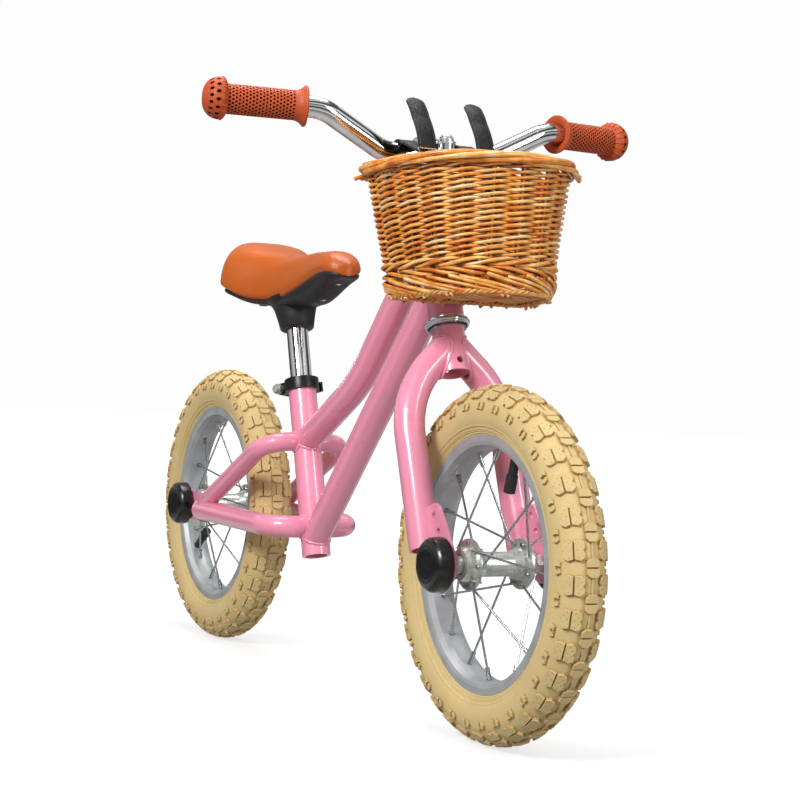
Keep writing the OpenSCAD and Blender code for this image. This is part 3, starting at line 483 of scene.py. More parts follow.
def glow_finish(name, grey, glow):
    """A pale studio surface that also shines by itself, so that it stays white at any distance."""
    f = Finish(name)
    f.colour(f.ramp(f.noise(0.4, 3.0), [(0.3, (grey, grey, grey)), (0.7, (grey * 1.03,) * 3)]))
    f.roughness(f.span(f.noise(0.05, 3.0), 0.3, 0.7, 0.8, 0.9))
    f.bump(f.noise(0.003, 2.0), 0.00002)
    # The lamps reach only the middle, so the glow makes up for them further out
    reach = f.node("VectorMath", {0: f.place}, operation="LENGTH").outputs["Value"]
    return f.set(Emission_Color=(1, 1, 1, 1), Emission_Strength=f.span(reach, 0.5, 3.5, glow, FULL_GLOW),
                 Specular_IOR_Level=0.0)


def place_stage():
    """A round floor and a white dome behind it. Only the camera sees them, not the object."""
    size, steps, levels = 9.0, 64, 12
    angle = turn_angles(steps)
    floor, dome = Shape(), Shape()
    rim = np.stack([size * np.cos(angle), size * np.sin(angle), np.zeros(steps)], axis=1)
    floor.add(np.vstack([[0, 0, 0], rim]), [[0, 1 + k, 1 + (k + 1) % steps] for k in range(steps)])
    rise = np.linspace(-0.02, math.pi / 2 - 0.01, levels)
    rings = [np.stack([size * math.cos(r) * np.cos(angle), size * math.cos(r) * np.sin(angle),
                       np.full(steps, size * math.sin(r))], axis=1) for r in rise]
    dome.add(np.vstack(rings), ring_faces(levels, steps))
    for shape, name, grey, glow in ((floor, "floor", 0.36, FLOOR_GLOW), (dome, "backdrop", 0.02, FULL_GLOW)):
        obj = shape.build(name, [glow_finish(name, grey, glow)])
        obj.visible_diffuse = obj.visible_glossy = obj.visible_shadow = obj.visible_transmission = False
        obj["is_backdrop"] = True


def soft_light(name, spot, aim, size, power):
    data = bpy.data.lights.new(name, "AREA")
    data.shape, data.size, data.size_y, data.energy = "RECTANGLE", size[0], size[1], power
    lamp = bpy.data.objects.new(name, data)
    lamp.location = spot
    lamp.rotation_euler = (Vector(aim) - Vector(spot)).to_track_quat("-Z", "Y").to_euler()
    bpy.context.scene.collection.objects.link(lamp)


# What metal mirrors and what lights the rest, from straight down (0) to straight up (1)
MIRRORED_BANDS = [(0.0, 0.6), (0.2, 0.15), (0.26, 0.7), (0.36, 0.55), (0.43, 0.04), (0.5, 0.03),
                  (0.55, 0.4), (0.62, 0.75), (0.65, 0.05), (0.71, 0.06), (0.745, 0.85), (0.79, 0.9),
                  (0.83, 0.06), (0.9, 0.1), (0.94, 0.8), (1.0, 0.4)]
SOFT_LIGHT = [(0.0, 0.46), (0.5, 0.22), (0.75, 0.36), (1.0, 0.55)]


def place_world():
    """Light all round: banded where metal mirrors it, and soft for everything else."""
    world = bpy.data.worlds.new("world")
    bpy.context.scene.world = world
    world.use_nodes = True
    sky = Nodes(world.node_tree)
    split = sky.node("SeparateXYZ", {0: sky.node("TexCoord").outputs["Generated"]})
    up = sky.span(split.outputs["Z"], -1, 1)
    soft, bands = (sky.ramp(up, [(place, (grey, grey, grey)) for place, grey in stops])
                   for stops in (SOFT_LIGHT, MIRRORED_BANDS))
    mirrored = sky.node("LightPath").outputs["Is Glossy Ray"]
    sky.feed(sky.tree.nodes["Background"].inputs["Color"], sky.mix(mirrored, soft, bands))


place_camera()
place_stage()
place_world()
soft_light("key", (1.3, -2.2, 1.9), (0, 0, 0.25), (0.8, 0.8), 78)
soft_light("fill", (2.4, 1.0, 1.1), (0, 0, 0.25), (0.5, 1.3), 24)
soft_light("top", (-0.4, 0.2, 2.2), (0, 0, 0.2), (1.4, 0.8), 28)
bpy.context.scene.view_settings.view_transform = "Standard"


# ---- Frame: weld beads

SEAT_FOOT = np.array([-0.0524, 0, 0.1186])
SEAT_LEAN = math.radians(17.5)
SEAT_WAY = np.array([-math.sin(SEAT_LEAN), 0, math.cos(SEAT_LEAN)])
STEER_FOOT = np.array([0.201, 0, 0.355])
STEER_LEAN = math.radians(21)
STEER_FORE = np.array([math.cos(STEER_LEAN), 0, math.sin(STEER_LEAN)])
STEER_WAY = np.array([-math.sin(STEER_LEAN), 0, math.cos(STEER_LEAN)])
SEAT_R, HEAD_R, DOWN_R, TOP_R = 14.3 * MM, 16 * MM, 14 * MM, 13.5 * MM
SEAT_STAY_R, CHAIN_STAY_R, LEG_R, CROWN_R = 9.5 * MM, 11.1 * MM, 13.5 * MM, 14.5 * MM
# Where tubes meet the seat tube, and then the head tube, in mm up from the tube's foot
DOWN_ON_SEAT, TOP_ON_SEAT, CHAIN_STAY_ON_SEAT = 17.5, 118.7, 30.2
DOWN_ON_HEAD, TOP_ON_HEAD = 37.7, 91
TOP_KNEE = np.array([0.033, 0, 0.2962])


def on_seat(s):
    return SEAT_FOOT + SEAT_WAY * s * MM


def on_steer(fore, side, up):
    return STEER_FOOT + (STEER_FORE * fore + Y_AXIS * side + STEER_WAY * up) * MM


def weld_line(start, way, r, axis_point, axis_way, axis_r):
    """Where a tube of radius r from start along way first meets a larger tube."""
    way, axis_way = unit(way), unit(axis_way)
    first, second = across(way)
    line = []
    for a in turn_angles(96):
        p = start + r * (math.cos(a) * first + math.sin(a) * second) - axis_point
        p_flat, d_flat = (v - axis_way * (v @ axis_way) for v in (p, way))
        qa, qb, qc = d_flat @ d_flat, 2 * p_flat @ d_flat, p_flat @ p_flat - axis_r ** 2
        inside = max(0.0, qb * qb - 4 * qa * qc)
        line.append(p + axis_point + way * (-qb - math.sqrt(inside)) / (2 * qa))
    return np.array(line)


def add_bead(shape, line, size):
    """A painted-over weld: an even bead with soft ripples."""
    n = len(line)
    ripple = 1 + 0.07 * np.sin(TAU * np.arange(n) / 4.0)
    add_rod(shape, line, size * ripple, sides=10, closed=True)


def frame_welds():
    beads = Shape()
    head, seat = (STEER_FOOT, STEER_WAY, HEAD_R), (SEAT_FOOT, SEAT_WAY, SEAT_R)
    down_a, down_b = on_seat(DOWN_ON_SEAT), on_steer(0, 0, DOWN_ON_HEAD)
    top_a, top_b = on_seat(TOP_ON_SEAT), on_steer(0, 0, TOP_ON_HEAD)
    mid_down = (down_a + down_b) / 2
    for start, way, r, onto in ((mid_down, down_b - down_a, DOWN_R, head),
                                (mid_down, down_a - down_b, DOWN_R, seat),
                                (TOP_KNEE, top_b - TOP_KNEE, TOP_R, head),
                                (TOP_KNEE, top_a - TOP_KNEE, TOP_R, seat)):
        add_bead(beads, weld_line(start, way, r, *onto), 1.6 * MM)
    for s, r in ((TOP_ON_SEAT, SEAT_STAY_R), (CHAIN_STAY_ON_SEAT, CHAIN_STAY_R)):
        for side in (-1, 1):
            start = on_seat(s) + Y_AXIS * side * 30 * MM
            add_bead(beads, weld_line(start, -side * Y_AXIS, r, *seat), 1.7 * MM)
    make_piece(beads, "frame_welds", "frame", "frame_paint")


def fork_welds():
    beads = Shape()
    for side in (-1, 1):
        way = -side * Y_AXIS + STEER_WAY
        end = on_steer(0, 0, -21)
        line = weld_line(end - unit(way) * 0.03, way, LEG_R, STEER_FOOT, STEER_WAY, CROWN_R)
        add_bead(beads, line, 1.3 * MM)
    make_piece(beads, "fork_welds", "fork", "frame_paint")


def lower_headset():
    """Rounded chrome cup with a dark seal in the gap under it."""
    cup = [(0.4, 15.9), (0.2, 17.4), (-0.8, 19.0), (-2.2, 20.0), (-4.2, 20.2), (-5.4, 19.6), (-5.8, 18.9),
           (-6.4, 19.3), (-7.0, 19.0), (-7.2, 17.6), (-6.4, 15.6)]
    seal = [(-7.6, 15.2), (-7.7, 17.4), (-8.6, 17.1), (-9.1, 15.2)]
    for profile, piece in ((cup, ("lower_cup", "frame", "chrome", ["lower_headset_cup"], (), 60)),
                           (seal, ("lower_seal", "fork", "tube_rubber"))):
        shape = Shape()
        add_lathe(shape, np.array(profile) * MM, STEER_FOOT, STEER_WAY, steps=96)
        make_piece(shape, *piece)


def axle_caps(name, body, node):
    """Rounded caps with a plain pressed ring on the face."""
    shape = Shape()
    low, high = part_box(node)
    centre = middle(node)
    r = (high[0] - low[0]) / 2
    length = 15.5 * MM
    profile = [(0, 0.86), (0.02, 0.97), (0.10, 1.0), (0.62, 0.985), (0.80, 0.93), (0.93, 0.83), (0.99, 0.70),
               (1.0, 0.64), (0.985, 0.615), (0.985, 0.575), (1.0, 0.55), (1.0, 0.3), (1.0, 0.002)]
    rim = curve_through([(a * length, b * r, 0) for a, b in profile], 4)[:, :2]
    for side in (-1, 1):
        start = centre.copy()
        start[1] = side * (max(abs(low[1]), abs(high[1])) - length)
        add_lathe(shape, rim, start, Y_AXIS * side, steps=80)
    make_piece(shape, name, body, "cap_black", [node], sharp=60)


frame_welds()
fork_welds()
lower_headset()
axle_caps("front_caps", "fork", "front_axle_caps")
axle_caps("rear_caps", "frame", "rear_axle_caps")


# ---- Tyres

TYRE_KNOB = 2.8 * MM
TYRE_PITCHES = 34
# How far the rings of large and small blocks lie from the middle of the tread, in mm
LARGE_OVER, SMALL_OVER = 14.2, 28.2
PIN_R = 0.34


def tyre_profile(section_r, mid_r):
    """One side of the casing from crown to bead, as (offset from the centre plane, radius)."""
    crown = [(section_r * math.sin(a), mid_r + section_r * math.cos(a))
             for a in np.linspace(0, math.pi / 2, 20)]
    a, b = np.array([section_r, mid_r]), np.array([section_r, mid_r - 11 * MM])
    c, d = np.array([15.6 * MM, mid_r - 14.5 * MM]), np.array([14.4 * MM, mid_r - 19.2 * MM])
    wall = []
    for t in np.linspace(0.03, 1, 46):
        p = (1 - t) ** 3 * a + 3 * (1 - t) ** 2 * t * b + 3 * (1 - t) * t * t * c + t ** 3 * d
        away = unit([p[0] - 2 * MM, (p[1] - mid_r) * 0.6])
        lines = sum(math.exp(-((t - place) / 0.022) ** 2) for place in (0.5, 0.68, 0.76, 0.9))
        wall.append(tuple(p + away * 0.5 * MM * lines))
    bead = [(13.6 * MM, mid_r - 20.4 * MM), (11.5 * MM, mid_r - 20.6 * MM)]
    return crown + wall + bead


def knob_outlines():
    """(outline, pitch share, height share) of each raised block; points are (along, across) in mm."""
    half = [(-7.0, 0.5), (-8.4, 4.6), (-6.2, 7.6), (-2.4, 8.0), (0, 6.4), (2.4, 8.0), (6.2, 7.6),
            (8.4, 4.6), (7.0, 0.5)]
    blocks = []
    for side in (-1, 1):
        for lobe in (-1, 1):
            blocks.append(([(x, side * LARGE_OVER + lobe * y) for x, y in half], 0.0, 1.0))
        bridge = [(-6.2, -6.5), (6.2, -6.5), (6.2, 6.5), (-6.2, 6.5)]
        blocks.append(([(x, side * LARGE_OVER + y) for x, y in bridge], 0.0, 0.55))
        for way in (-1, 1):
            small = [(0.9, -2.4), (4.6, -3.0), (6.0, 0.2), (4.4, 3.0), (0.9, 2.6), (1.8, 0.3)]
            blocks.append(([(way * x, side * SMALL_OVER + y) for x, y in small], 0.5, 0.8))
    for way in (-1, 1):
        mid = [(0.5, -5.0), (4.8, -5.2), (7.4, -2.6), (7.4, 2.6), (4.8, 5.2), (0.5, 5.0)]
        blocks.append(([(way * x, y) for x, y in mid], 0.5, 1.0))
    rib = [(7.0, -0.8), (21.0, -0.8), (21.0, 0.8), (7.0, 0.8)]
    blocks.append((rib, 0.5, 0.45))
    return blocks


def add_knob(shape, put, outline, height):
    """A block with a drafted side and a chamfered top, laid on the casing by put(along, across, h)."""
    outline = np.array(outline, float)
    area = np.sum(outline[:, 0] * np.roll(outline[:, 1], -1) - outline[:, 1] * np.roll(outline[:, 0], -1))
    if area < 0:
        outline = outline[::-1]
    heart = outline.mean(axis=0)
    reach = np.abs(outline - heart).max()
    n = len(outline)
    levels = [(1 + 0.5 / reach, -0.9 * MM), (1.0, height - 0.5 * MM), (1 - 0.45 / reach, height)]
    verts = [put(*(heart + (p - heart) * grow), h) for grow, h in levels for p in outline]
    faces = ring_faces(len(levels), n)
    # The side walls take mark 2, the darker tan of painted shade
    shape.add(verts, faces[:n], 2)
    top = [(len(levels) - 1) * n + k for k in range(n)]
    shape.add(verts, faces[n:] + [top])


def tyre(name, body, axle, cad_node):
    centre = middle(axle)
    low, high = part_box(cad_node)
    outer_r, half_w = (high[0] - low[0]) / 2, (high[1] - low[1]) / 2
    section_r = half_w - TYRE_KNOB
    mid_r = outer_r - half_w
    shape = Shape()
    half = tyre_profile(section_r, mid_r)
    profile = [(-y, r) for y, r in reversed(half[1:])] + half
    add_lathe(shape, profile, centre, Y_AXIS, steps=204, start=X_AXIS)
    tread_r = mid_r + section_r

    def put(along, over, h, turn=0.0):
        round_angle = over * MM / section_r
        wheel_angle = turn + along * MM / tread_r
        r = mid_r + (section_r + h) * math.cos(round_angle)
        return centre + np.array([r * math.cos(wheel_angle), (section_r + h) * math.sin(round_angle),
                                  r * math.sin(wheel_angle)])

    pins = [(x, lobe * y) for x, y in ((-5.6, 3.4), (-2.2, 5.6), (0.2, 2.6), (3.0, 5.4), (6.0, 3.2))
            for lobe in (-1, 1)]
    for k in range(TYRE_PITCHES):
        for outline, share, tall in knob_outlines():
            turn = TAU * (k + share) / TYRE_PITCHES
            add_knob(shape, lambda a, o, h: put(a, o, h, turn), outline, TYRE_KNOB * tall)
        turn = TAU * k / TYRE_PITCHES
        for side in (-1, 1):
            for x, y in pins:
                dot = [(x + PIN_R * math.cos(a), side * LARGE_OVER + y + PIN_R * math.sin(a))
                       for a in turn_angles(6)]
                verts = [put(a, o, TYRE_KNOB + h * MM, turn) for h in (0.12, -0.2) for a, o in dot]
                shape.add(verts, ring_faces(2, 6) + [list(range(6))[::-1]], 1)
    make_piece(shape, name, body, "tyre_tan", [cad_node], ("pin_mark", "knob_side_painted_shade"), 38)


tyre("front_tread", "front_wheel", "front_axle", "front_tyre")
tyre("rear_tread", "rear_wheel", "rear_axle", "rear_tyre")


# ---- Saddle

SADDLE_NOSE_X, SADDLE_L = -0.004, 0.229
TAIL_HALF, WAIST_HALF, NOSE_HALF = 57.5 * MM, 25 * MM, 20 * MM
SOCKET_LOW, SOCKET_HIGH = 240, 272


def saddle_end(t):
    tail = max(0, (0.16 - t) / 0.16)
    nose = max(0, (t - 0.91) / 0.09)
    return math.sqrt(max(0, 1 - tail ** 2)) * math.sqrt(max(0, 1 - nose ** 2))


def saddle_half(t):
    return (TAIL_HALF - (TAIL_HALF - WAIST_HALF) * smooth_ramp((t - 0.13) / 0.32)
            - (WAIST_HALF - NOSE_HALF) * smooth_ramp((t - 0.45) / 0.3)) * saddle_end(t)


def saddle_top(t):
    return (441 - 19 * smooth_ramp((t - 0.02) / 0.5) + 3 * smooth_ramp((t - 0.5) / 0.25)
            - 14 * max(0, (t - 0.88) / 0.12) ** 2 - 22 * max(0, (0.07 - t) / 0.07) ** 2) * MM


def saddle_edge(t):
    return (386 - 12.5 * smooth_ramp((t - 0.1) / 0.2) + 26 * smooth_ramp((t - 0.4) / 0.52)) * MM


def saddle_keel(t):
    return (383 - 15 * smooth_ramp(t / 0.45) + 4 * smooth_ramp((t - 0.4) / 0.3)
            + 25 * smooth_ramp((t - 0.66) / 0.34)) * MM


def saddle_ring(t, inset, low, mid, high, square, sides):
    """One section, widest at the height mid; square 0.5 is boxy and 1 is round."""
    half = max(0.8 * MM, saddle_half(t) - inset)
    ring = []
    for a in turn_angles(sides):
        c, s = math.cos(a), math.sin(a)
        y = half * math.copysign(abs(c) ** square, c)
        ring.append((SADDLE_NOSE_X - SADDLE_L * (1 - t), y, mid + (high - mid if s > 0 else mid - low) * s))
    return ring


def add_loft(shape, rings):
    sides = len(rings[0])
    last = (len(rings) - 1) * sides
    caps = [list(range(sides))[::-1], [last + k for k in range(sides)]]
    shape.add(np.vstack(rings), ring_faces(len(rings), sides) + caps)


def saddle_pad():
    """The padded cover: rings from tail to nose, each with a soft shoulder and a tucked-in hem."""
    rings = []
    for t in 0.5 - 0.5 * np.cos(np.linspace(0.07, math.pi - 0.07, 81)):
        low, high = saddle_edge(t), saddle_top(t)
        mid = low + min(9 * MM, 0.35 * (high - low))
        rings.append(saddle_ring(t, 0, low, mid, high, 0.52 + 0.25 * t, 64))
    shape = Shape()
    add_loft(shape, rings)
    pad = make_piece(shape, "saddle_cushion", "saddle", "saddle_cover", ["saddle_pad"], sharp=60)


def saddle_base():
    """The moulded shell under the pad, with a flared socket on the seat post."""
    rings = []
    for t in 0.5 - 0.5 * np.cos(np.linspace(0.26, math.pi - 0.24, 61)):
        edge = saddle_edge(t)
        low = min(edge - 2.5 * MM, saddle_keel(t))
        tucked = (5 - 3.6 * smooth_ramp((t - 0.25) / 0.3)) * MM
        rings.append(saddle_ring(t, tucked, low, edge + 1 * MM, edge + 7 * MM, 0.6, 48))
    shape = Shape()
    add_loft(shape, rings)
    socket = [(SOCKET_LOW, 11.3), (SOCKET_LOW - 0.2, 12.2), (SOCKET_LOW - 0.3, 16.6),
              (SOCKET_LOW + 0.6, 17.5), (SOCKET_LOW + 12, 19.7), (SOCKET_LOW + 22, 22.0),
              (SOCKET_LOW + 28, 25.0), (SOCKET_HIGH, 29.5)]
    add_lathe(shape, [((s - SOCKET_LOW) * MM, r * MM) for s, r in socket], on_seat(SOCKET_LOW), SEAT_WAY,
              steps=64)
    make_piece(shape, "saddle_shell", "saddle", "base_plastic", ["saddle_base"], sharp=50)


saddle_pad()
saddle_base()


# ---- Grips

SWEEP, UPSWEEP = math.radians(14.3), math.radians(1.2)
GRIP_L, GRIP_BODY_R, GRIP_DOME_R = 91 * MM, 13.1 * MM, 18.4 * MM
BAR_R = 9.5 * MM
GRIP_END = np.array([0.140, 0.215, 0.537])


def add_pierced_wall(shape, put, length, girth, rows, columns, hole, depth, tall=1.0):
    """A wall of cells, each with a sunk hole; put(along, around, down) places a point."""
    row_l, cell_w = length / rows, girth / columns
    ring = [(-0.5, -0.5), (0, -0.5), (0.5, -0.5), (0.5, 0), (0.5, 0.5), (0, 0.5), (-0.5, 0.5), (-0.5, 0)]
    for i in range(rows):
        for j in range(columns):
            u, v = (i + 0.5) * row_l, (j + 0.5 + 0.5 * (i % 2)) * cell_w
            verts = [put(u + a * row_l, v + b * cell_w, 0) for a, b in ring]
            for size, down in ((1.15, 0.0), (1.0, 0.22 * MM), (0.9, depth)):
                for a, b in ring:
                    reach = math.hypot(a, b)
                    verts.append(put(u + a / reach * hole * size * tall, v + b / reach * hole * size, down))
            shape.add(verts, [f[::-1] for f in ring_faces(3, 8)])
            # The deeper walls and the floor of each hole take mark 1, the dark finish of painted shade
            deep = [[8 + i for i in f][::-1] for f in ring_faces(3, 8)[8:16]]
            shape.add(verts, deep + [[24 + k for k in range(8)][::-1]], 1)


def grip(shape, side):
    way = unit([-math.sin(SWEEP), side * math.cos(SWEEP), math.sin(UPSWEEP)])
    inner = GRIP_END * np.array([1, side, 1]) - way * GRIP_L
    up = unit(Z_AXIS - way * way[2])
    other = np.cross(way, up)

    def around_bar(z, r, angle):
        return inner + way * z + r * (math.cos(angle) * up + math.sin(angle) * other)

    cuff = [(11.5, 9.6), (3.5, 9.75), (0.4, 12.6), (0.0, 15.6), (0.4, 17.5), (1.4, 18.0), (2.6, 17.7),
            (3.6, 16.4), (6.0, 14.6), (8.5, 13.5), (11.0, 13.1)]
    add_lathe(shape, np.array(cuff) * MM, inner, way, steps=72, start=up)
    body_a, body_b = 11.0 * MM, GRIP_L - 21 * MM
    add_pierced_wall(shape, lambda u, v, d: around_bar(body_a + u, GRIP_BODY_R - d, v / GRIP_BODY_R),
                     body_b - body_a, TAU * GRIP_BODY_R, 20, 24, 1.05 * MM, 1.9 * MM)
    # The palm end: a neck, a shoulder with oval holes, and a domed face
    dome_z = GRIP_L - 15.5 * MM
    neck = [(body_b, GRIP_BODY_R), (body_b + 1.2 * MM, 14.4 * MM), (body_b + 2.2 * MM, 16.9 * MM),
            (body_b + 3.6 * MM, 18.0 * MM), (dome_z, GRIP_DOME_R)]
    add_lathe(shape, neck, inner, way, steps=64, start=up)
    curve = [(dome_z + (GRIP_L - dome_z) * math.sin(a), GRIP_DOME_R * math.cos(a) ** 0.75)
             for a in np.linspace(0, 1.52, 60)]
    run = run_along(curve)
    pierced = 12.5 * MM
    zs, rs = np.array(curve).T

    def on_dome(u, v, d):
        u = min(max(u, 0), pierced)
        return around_bar(np.interp(u, run, zs) - d * 0.5, np.interp(u, run, rs) - d, v / GRIP_DOME_R)

    add_pierced_wall(shape, on_dome, pierced, TAU * GRIP_DOME_R, 2, 16, 1.75 * MM, 2.6 * MM, tall=1.25)
    face = [(np.interp(u, run, zs), np.interp(u, run, rs)) for u in np.linspace(pierced, run[-1], 14)]
    add_lathe(shape, face + [(GRIP_L, 0.05 * MM)], inner, way, steps=64, start=up)
    for k in range(20):
        angle = TAU * (k + 0.5) / 20
        rib = [around_bar(body_b + z * MM, r * MM, angle)
               for z, r in ((0.6, 13.4), (1.8, 15.9), (3.2, 17.6), (4.8, 18.3))]
        add_rod(shape, curve_through(rib, 4), 0.7 * MM, sides=6)


def grips():
    shape = Shape()
    for side in (-1, 1):
        grip(shape, side)
    make_piece(shape, "grip_pair", "handlebar", "grip_rubber", ["grips"], ("grip_hollow_painted_shade",), 40)


grips()


# ---- Basket

BASKET_PIVOT = np.array([0.186, 0, 0.503])
BASKET_TIP = math.radians(-3.7)
RIM_X, RIM_W, RIM_D, RIM_Z, RIM_H = 0.203, 0.195, 0.123, 0.485, 0.013
FOOT_X, FOOT_W, FOOT_D, FOOT_Z = 0.207, 0.142, 0.110, 0.368
RIM_OVER, FOOT_OVER = 0.006, 0.003
STAKES, STAKE_POINTS = 18, 10
STAKE_R, WEAVER_R = 1.9 * MM, 1.6 * MM
WEAVE_REACH = 2.9 * MM
WALL_POINTS = STAKES * STAKE_POINTS
WALL_TURN = turn_angles(WALL_POINTS)


def tipped(points):
    """From the level basket to the way it hangs on the bar."""
    p = np.asarray(points, float) - BASKET_PIVOT
    c, s = math.cos(BASKET_TIP), math.sin(BASKET_TIP)
    return np.stack([p[..., 0] * c + p[..., 2] * s, p[..., 1], -p[..., 0] * s + p[..., 2] * c],
                    axis=-1) + BASKET_PIVOT


def outline_at(z, inset):
    """WALL_POINTS points and outward normals round the D-shaped wall at height z, moved in by inset."""
    share = (z - FOOT_Z) / (RIM_Z - FOOT_Z)
    back = FOOT_X + (RIM_X - FOOT_X) * share
    depth = (FOOT_D - FOOT_OVER) + (RIM_D - RIM_OVER - FOOT_D + FOOT_OVER) * share
    half = (FOOT_W / 2 - FOOT_OVER) + (RIM_W / 2 - RIM_OVER - FOOT_W / 2 + FOOT_OVER) * share
    angle = np.radians(np.linspace(-90, 90, 181))
    x = back + depth * np.abs(np.cos(angle)) ** 0.87
    y = half * np.sign(np.sin(angle)) * np.abs(np.sin(angle)) ** 0.87
    line = np.stack([x, y, np.full_like(x, z)], axis=1)
    # Round the two back corners, as bent rods do
    run = np.vstack([line, line[:1]])
    step = run_along(run)
    dense = read_at(np.linspace(0, step[-1], WALL_POINTS * 4, endpoint=False), step, run)
    reach = 9
    dense = sum(np.roll(dense, k, axis=0) for k in range(-reach, reach + 1)) / (2 * reach + 1)
    ahead = directions(dense, closed=True)
    normal = np.stack([ahead[:, 1], -ahead[:, 0], np.zeros(len(ahead))], axis=1)
    return (dense - normal * inset)[::4], normal[::4]


def wobble(size):
    """A smooth wander of about size, once round the wall, from seeded waves."""
    total = np.zeros(WALL_POINTS)
    for k in range(1, 6):
        total += rng.normal() * np.sin(k * WALL_TURN + rng.uniform(0, TAU)) / math.sqrt(k)
    return total * size


def add_strand(shape, wall, out, rise, radius, sides):
    """A closed rod round the wall, out and up from it by the given distances."""
    line, normal = wall
    path = line + normal * out[:, None]
    path[:, 2] += rise
    add_rod(shape, tipped(path), radius, sides, closed=True)


def basket_wall(shape):
    """Paired weavers that cross between the stakes, one in front of each stake in turn."""
    bottom, top, rows = FOOT_Z + 30.5 * MM, RIM_Z - 8.5 * MM, 16
    pitch = (top - bottom) / rows
    inset = WEAVE_REACH + WEAVER_R
    for row in range(rows):
        wall = outline_at(bottom + (row + 0.5) * pitch, inset)
        drift = wobble(0.12 * MM)
        for start in (0, math.pi):
            phase = WALL_TURN * STAKES / 2 + start
            out = WEAVE_REACH * np.cos(phase) + wobble(0.1 * MM)
            thick = WEAVER_R * (1 + wobble(0.05) + rng.uniform(-0.1, 0.1))
            add_strand(shape, wall, out, 1.35 * MM * np.sin(phase) + drift, thick, 7)
    for k in range(STAKES):
        path = [outline_at(z, inset)[0][k * STAKE_POINTS]
                for z in np.linspace(FOOT_Z + 3 * MM, RIM_Z - 5 * MM, 7)]
        add_rod(shape, tipped(path), STAKE_R)


def basket_wale(shape):
    """Two rows of three heavier rods, each in front of two stakes and behind one."""
    for level, slant in ((19 * MM, -1), (26.5 * MM, 1)):
        wall = outline_at(FOOT_Z + level, 4.4 * MM)
        for start in turn_angles(3):
            phase = WALL_TURN * STAKES / 3 * slant + start
            rise = 2.7 * MM * np.sin(phase) + wobble(0.15 * MM)
            add_strand(shape, wall, 3.1 * MM * np.cos(phase) + 1.4 * MM, rise,
                       1.75 * MM * (1 + wobble(0.05)), 8)


def rod_on_wall(start, span, levels, outs, radius, shape):
    """A loose rod laid on the wall from stake place start over span stakes."""
    t = np.linspace(0, 1, int(span * STAKE_POINTS) + 1)
    z, out = (np.interp(t, np.linspace(0, 1, len(row)), row) for row in (levels, outs))
    points = []
    for p, level, o in zip((start + t * span) * STAKE_POINTS, z, out):
        line, normal = outline_at(level, 4.0 * MM)
        low, part = int(math.floor(p)) % WALL_POINTS, p - math.floor(p)
        spot = line[low] * (1 - part) + line[(low + 1) % WALL_POINTS] * part
        points.append(spot + normal[low] * o)
    add_rod(shape, tipped(curve_through(points[::2] + [points[-1]], 3)), radius)


def basket_border(shape):
    """Foot border: rods with cut upper ends that run down and round, tucked in underneath."""
    rods, tufts = STAKES + 8, 30
    for k in range(rods):
        start = k * STAKES / rods + rng.uniform(-0.2, 0.2)
        top = FOOT_Z + rng.uniform(13.0, 16.0) * MM
        levels = [top, FOOT_Z + 10.5 * MM, FOOT_Z + 7 * MM, FOOT_Z + 3.6 * MM, FOOT_Z + 1.4 * MM]
        outs = [5.2 * MM, 5.0 * MM, 4.4 * MM, 3.2 * MM, 0.8 * MM]
        rod_on_wall(start, rng.uniform(2.3, 2.9), levels, outs, rng.uniform(1.65, 1.95) * MM, shape)
    line, normal = wall = outline_at(FOOT_Z + 2.2 * MM, 2.6 * MM)
    for start in turn_angles(3):
        phase = WALL_TURN * 24 + start
        add_strand(shape, wall, 1.5 * MM * np.cos(phase), 1.5 * MM * np.sin(phase), 1.5 * MM, 7)
    for _ in range(tufts):
        place = int(rng.uniform(0, WALL_POINTS))
        foot = line[place] - normal[place] * rng.uniform(0, 3) * MM
        ahead = unit(np.roll(line, -1, axis=0)[place] - line[place])
        end = foot + ahead * rng.uniform(2, 7) * MM + normal[place] * 2 * MM
        end[2] = FOOT_Z - rng.uniform(0.5, 2.6) * MM
        foot[2] = FOOT_Z + 3 * MM
        add_rod(shape, tipped(np.linspace(foot, end, 3)), 1.5 * MM, sides=7)


# Level direction that runs left to right as the basket is seen from the front
RIGHT_OF_VIEW = unit(np.array([0.43, 0.90, 0.0]))


def basket_rim(shape):
    """Rolled rim: four long rods laid round each other with a slow turn, and cut ends at two corners."""
    line, normal = outline_at(RIM_Z - 5.4 * MM, 0)
    line = line + normal * (RIM_OVER - RIM_H / 2 + 0.4 * MM)
    for start in turn_angles(4):
        phase = WALL_TURN * 2 + start
        out = 3.4 * MM * np.cos(phase) + wobble(0.35 * MM)
        rise = 3.1 * MM * np.sin(phase) + wobble(0.35 * MM)
        add_strand(shape, (line, normal), out, rise, 2.5 * MM * (1 + wobble(0.06)), 10)
    # Cut ends where the rim is tied off, behind its left and right corners
    for way, count, drop in ((RIGHT_OF_VIEW, 7, -2), (-RIGHT_OF_VIEW, 6, -2.5)):
        corner = int(np.argmax(line @ way))
        for k in range(count):
            place = (corner - 4 - k) % WALL_POINTS
            ahead = unit(line[(place + 1) % WALL_POINTS] - line[place])
            low = Z_AXIS * (drop + rng.uniform(-4, 1)) * MM
            a = line[place] + normal[place] * 2.2 * MM + low
            b = a + ahead * 9 * MM + normal[place] * 2.4 * MM - Z_AXIS * 1.2 * MM
            c = b + ahead * rng.uniform(3, 7) * MM + normal[place] * rng.uniform(0.5, 2.2) * MM
            c[2] -= rng.uniform(0.5, 2.5) * MM
            add_rod(shape, tipped(curve_through([a, b, c], 4)), rng.uniform(1.4, 1.9) * MM)


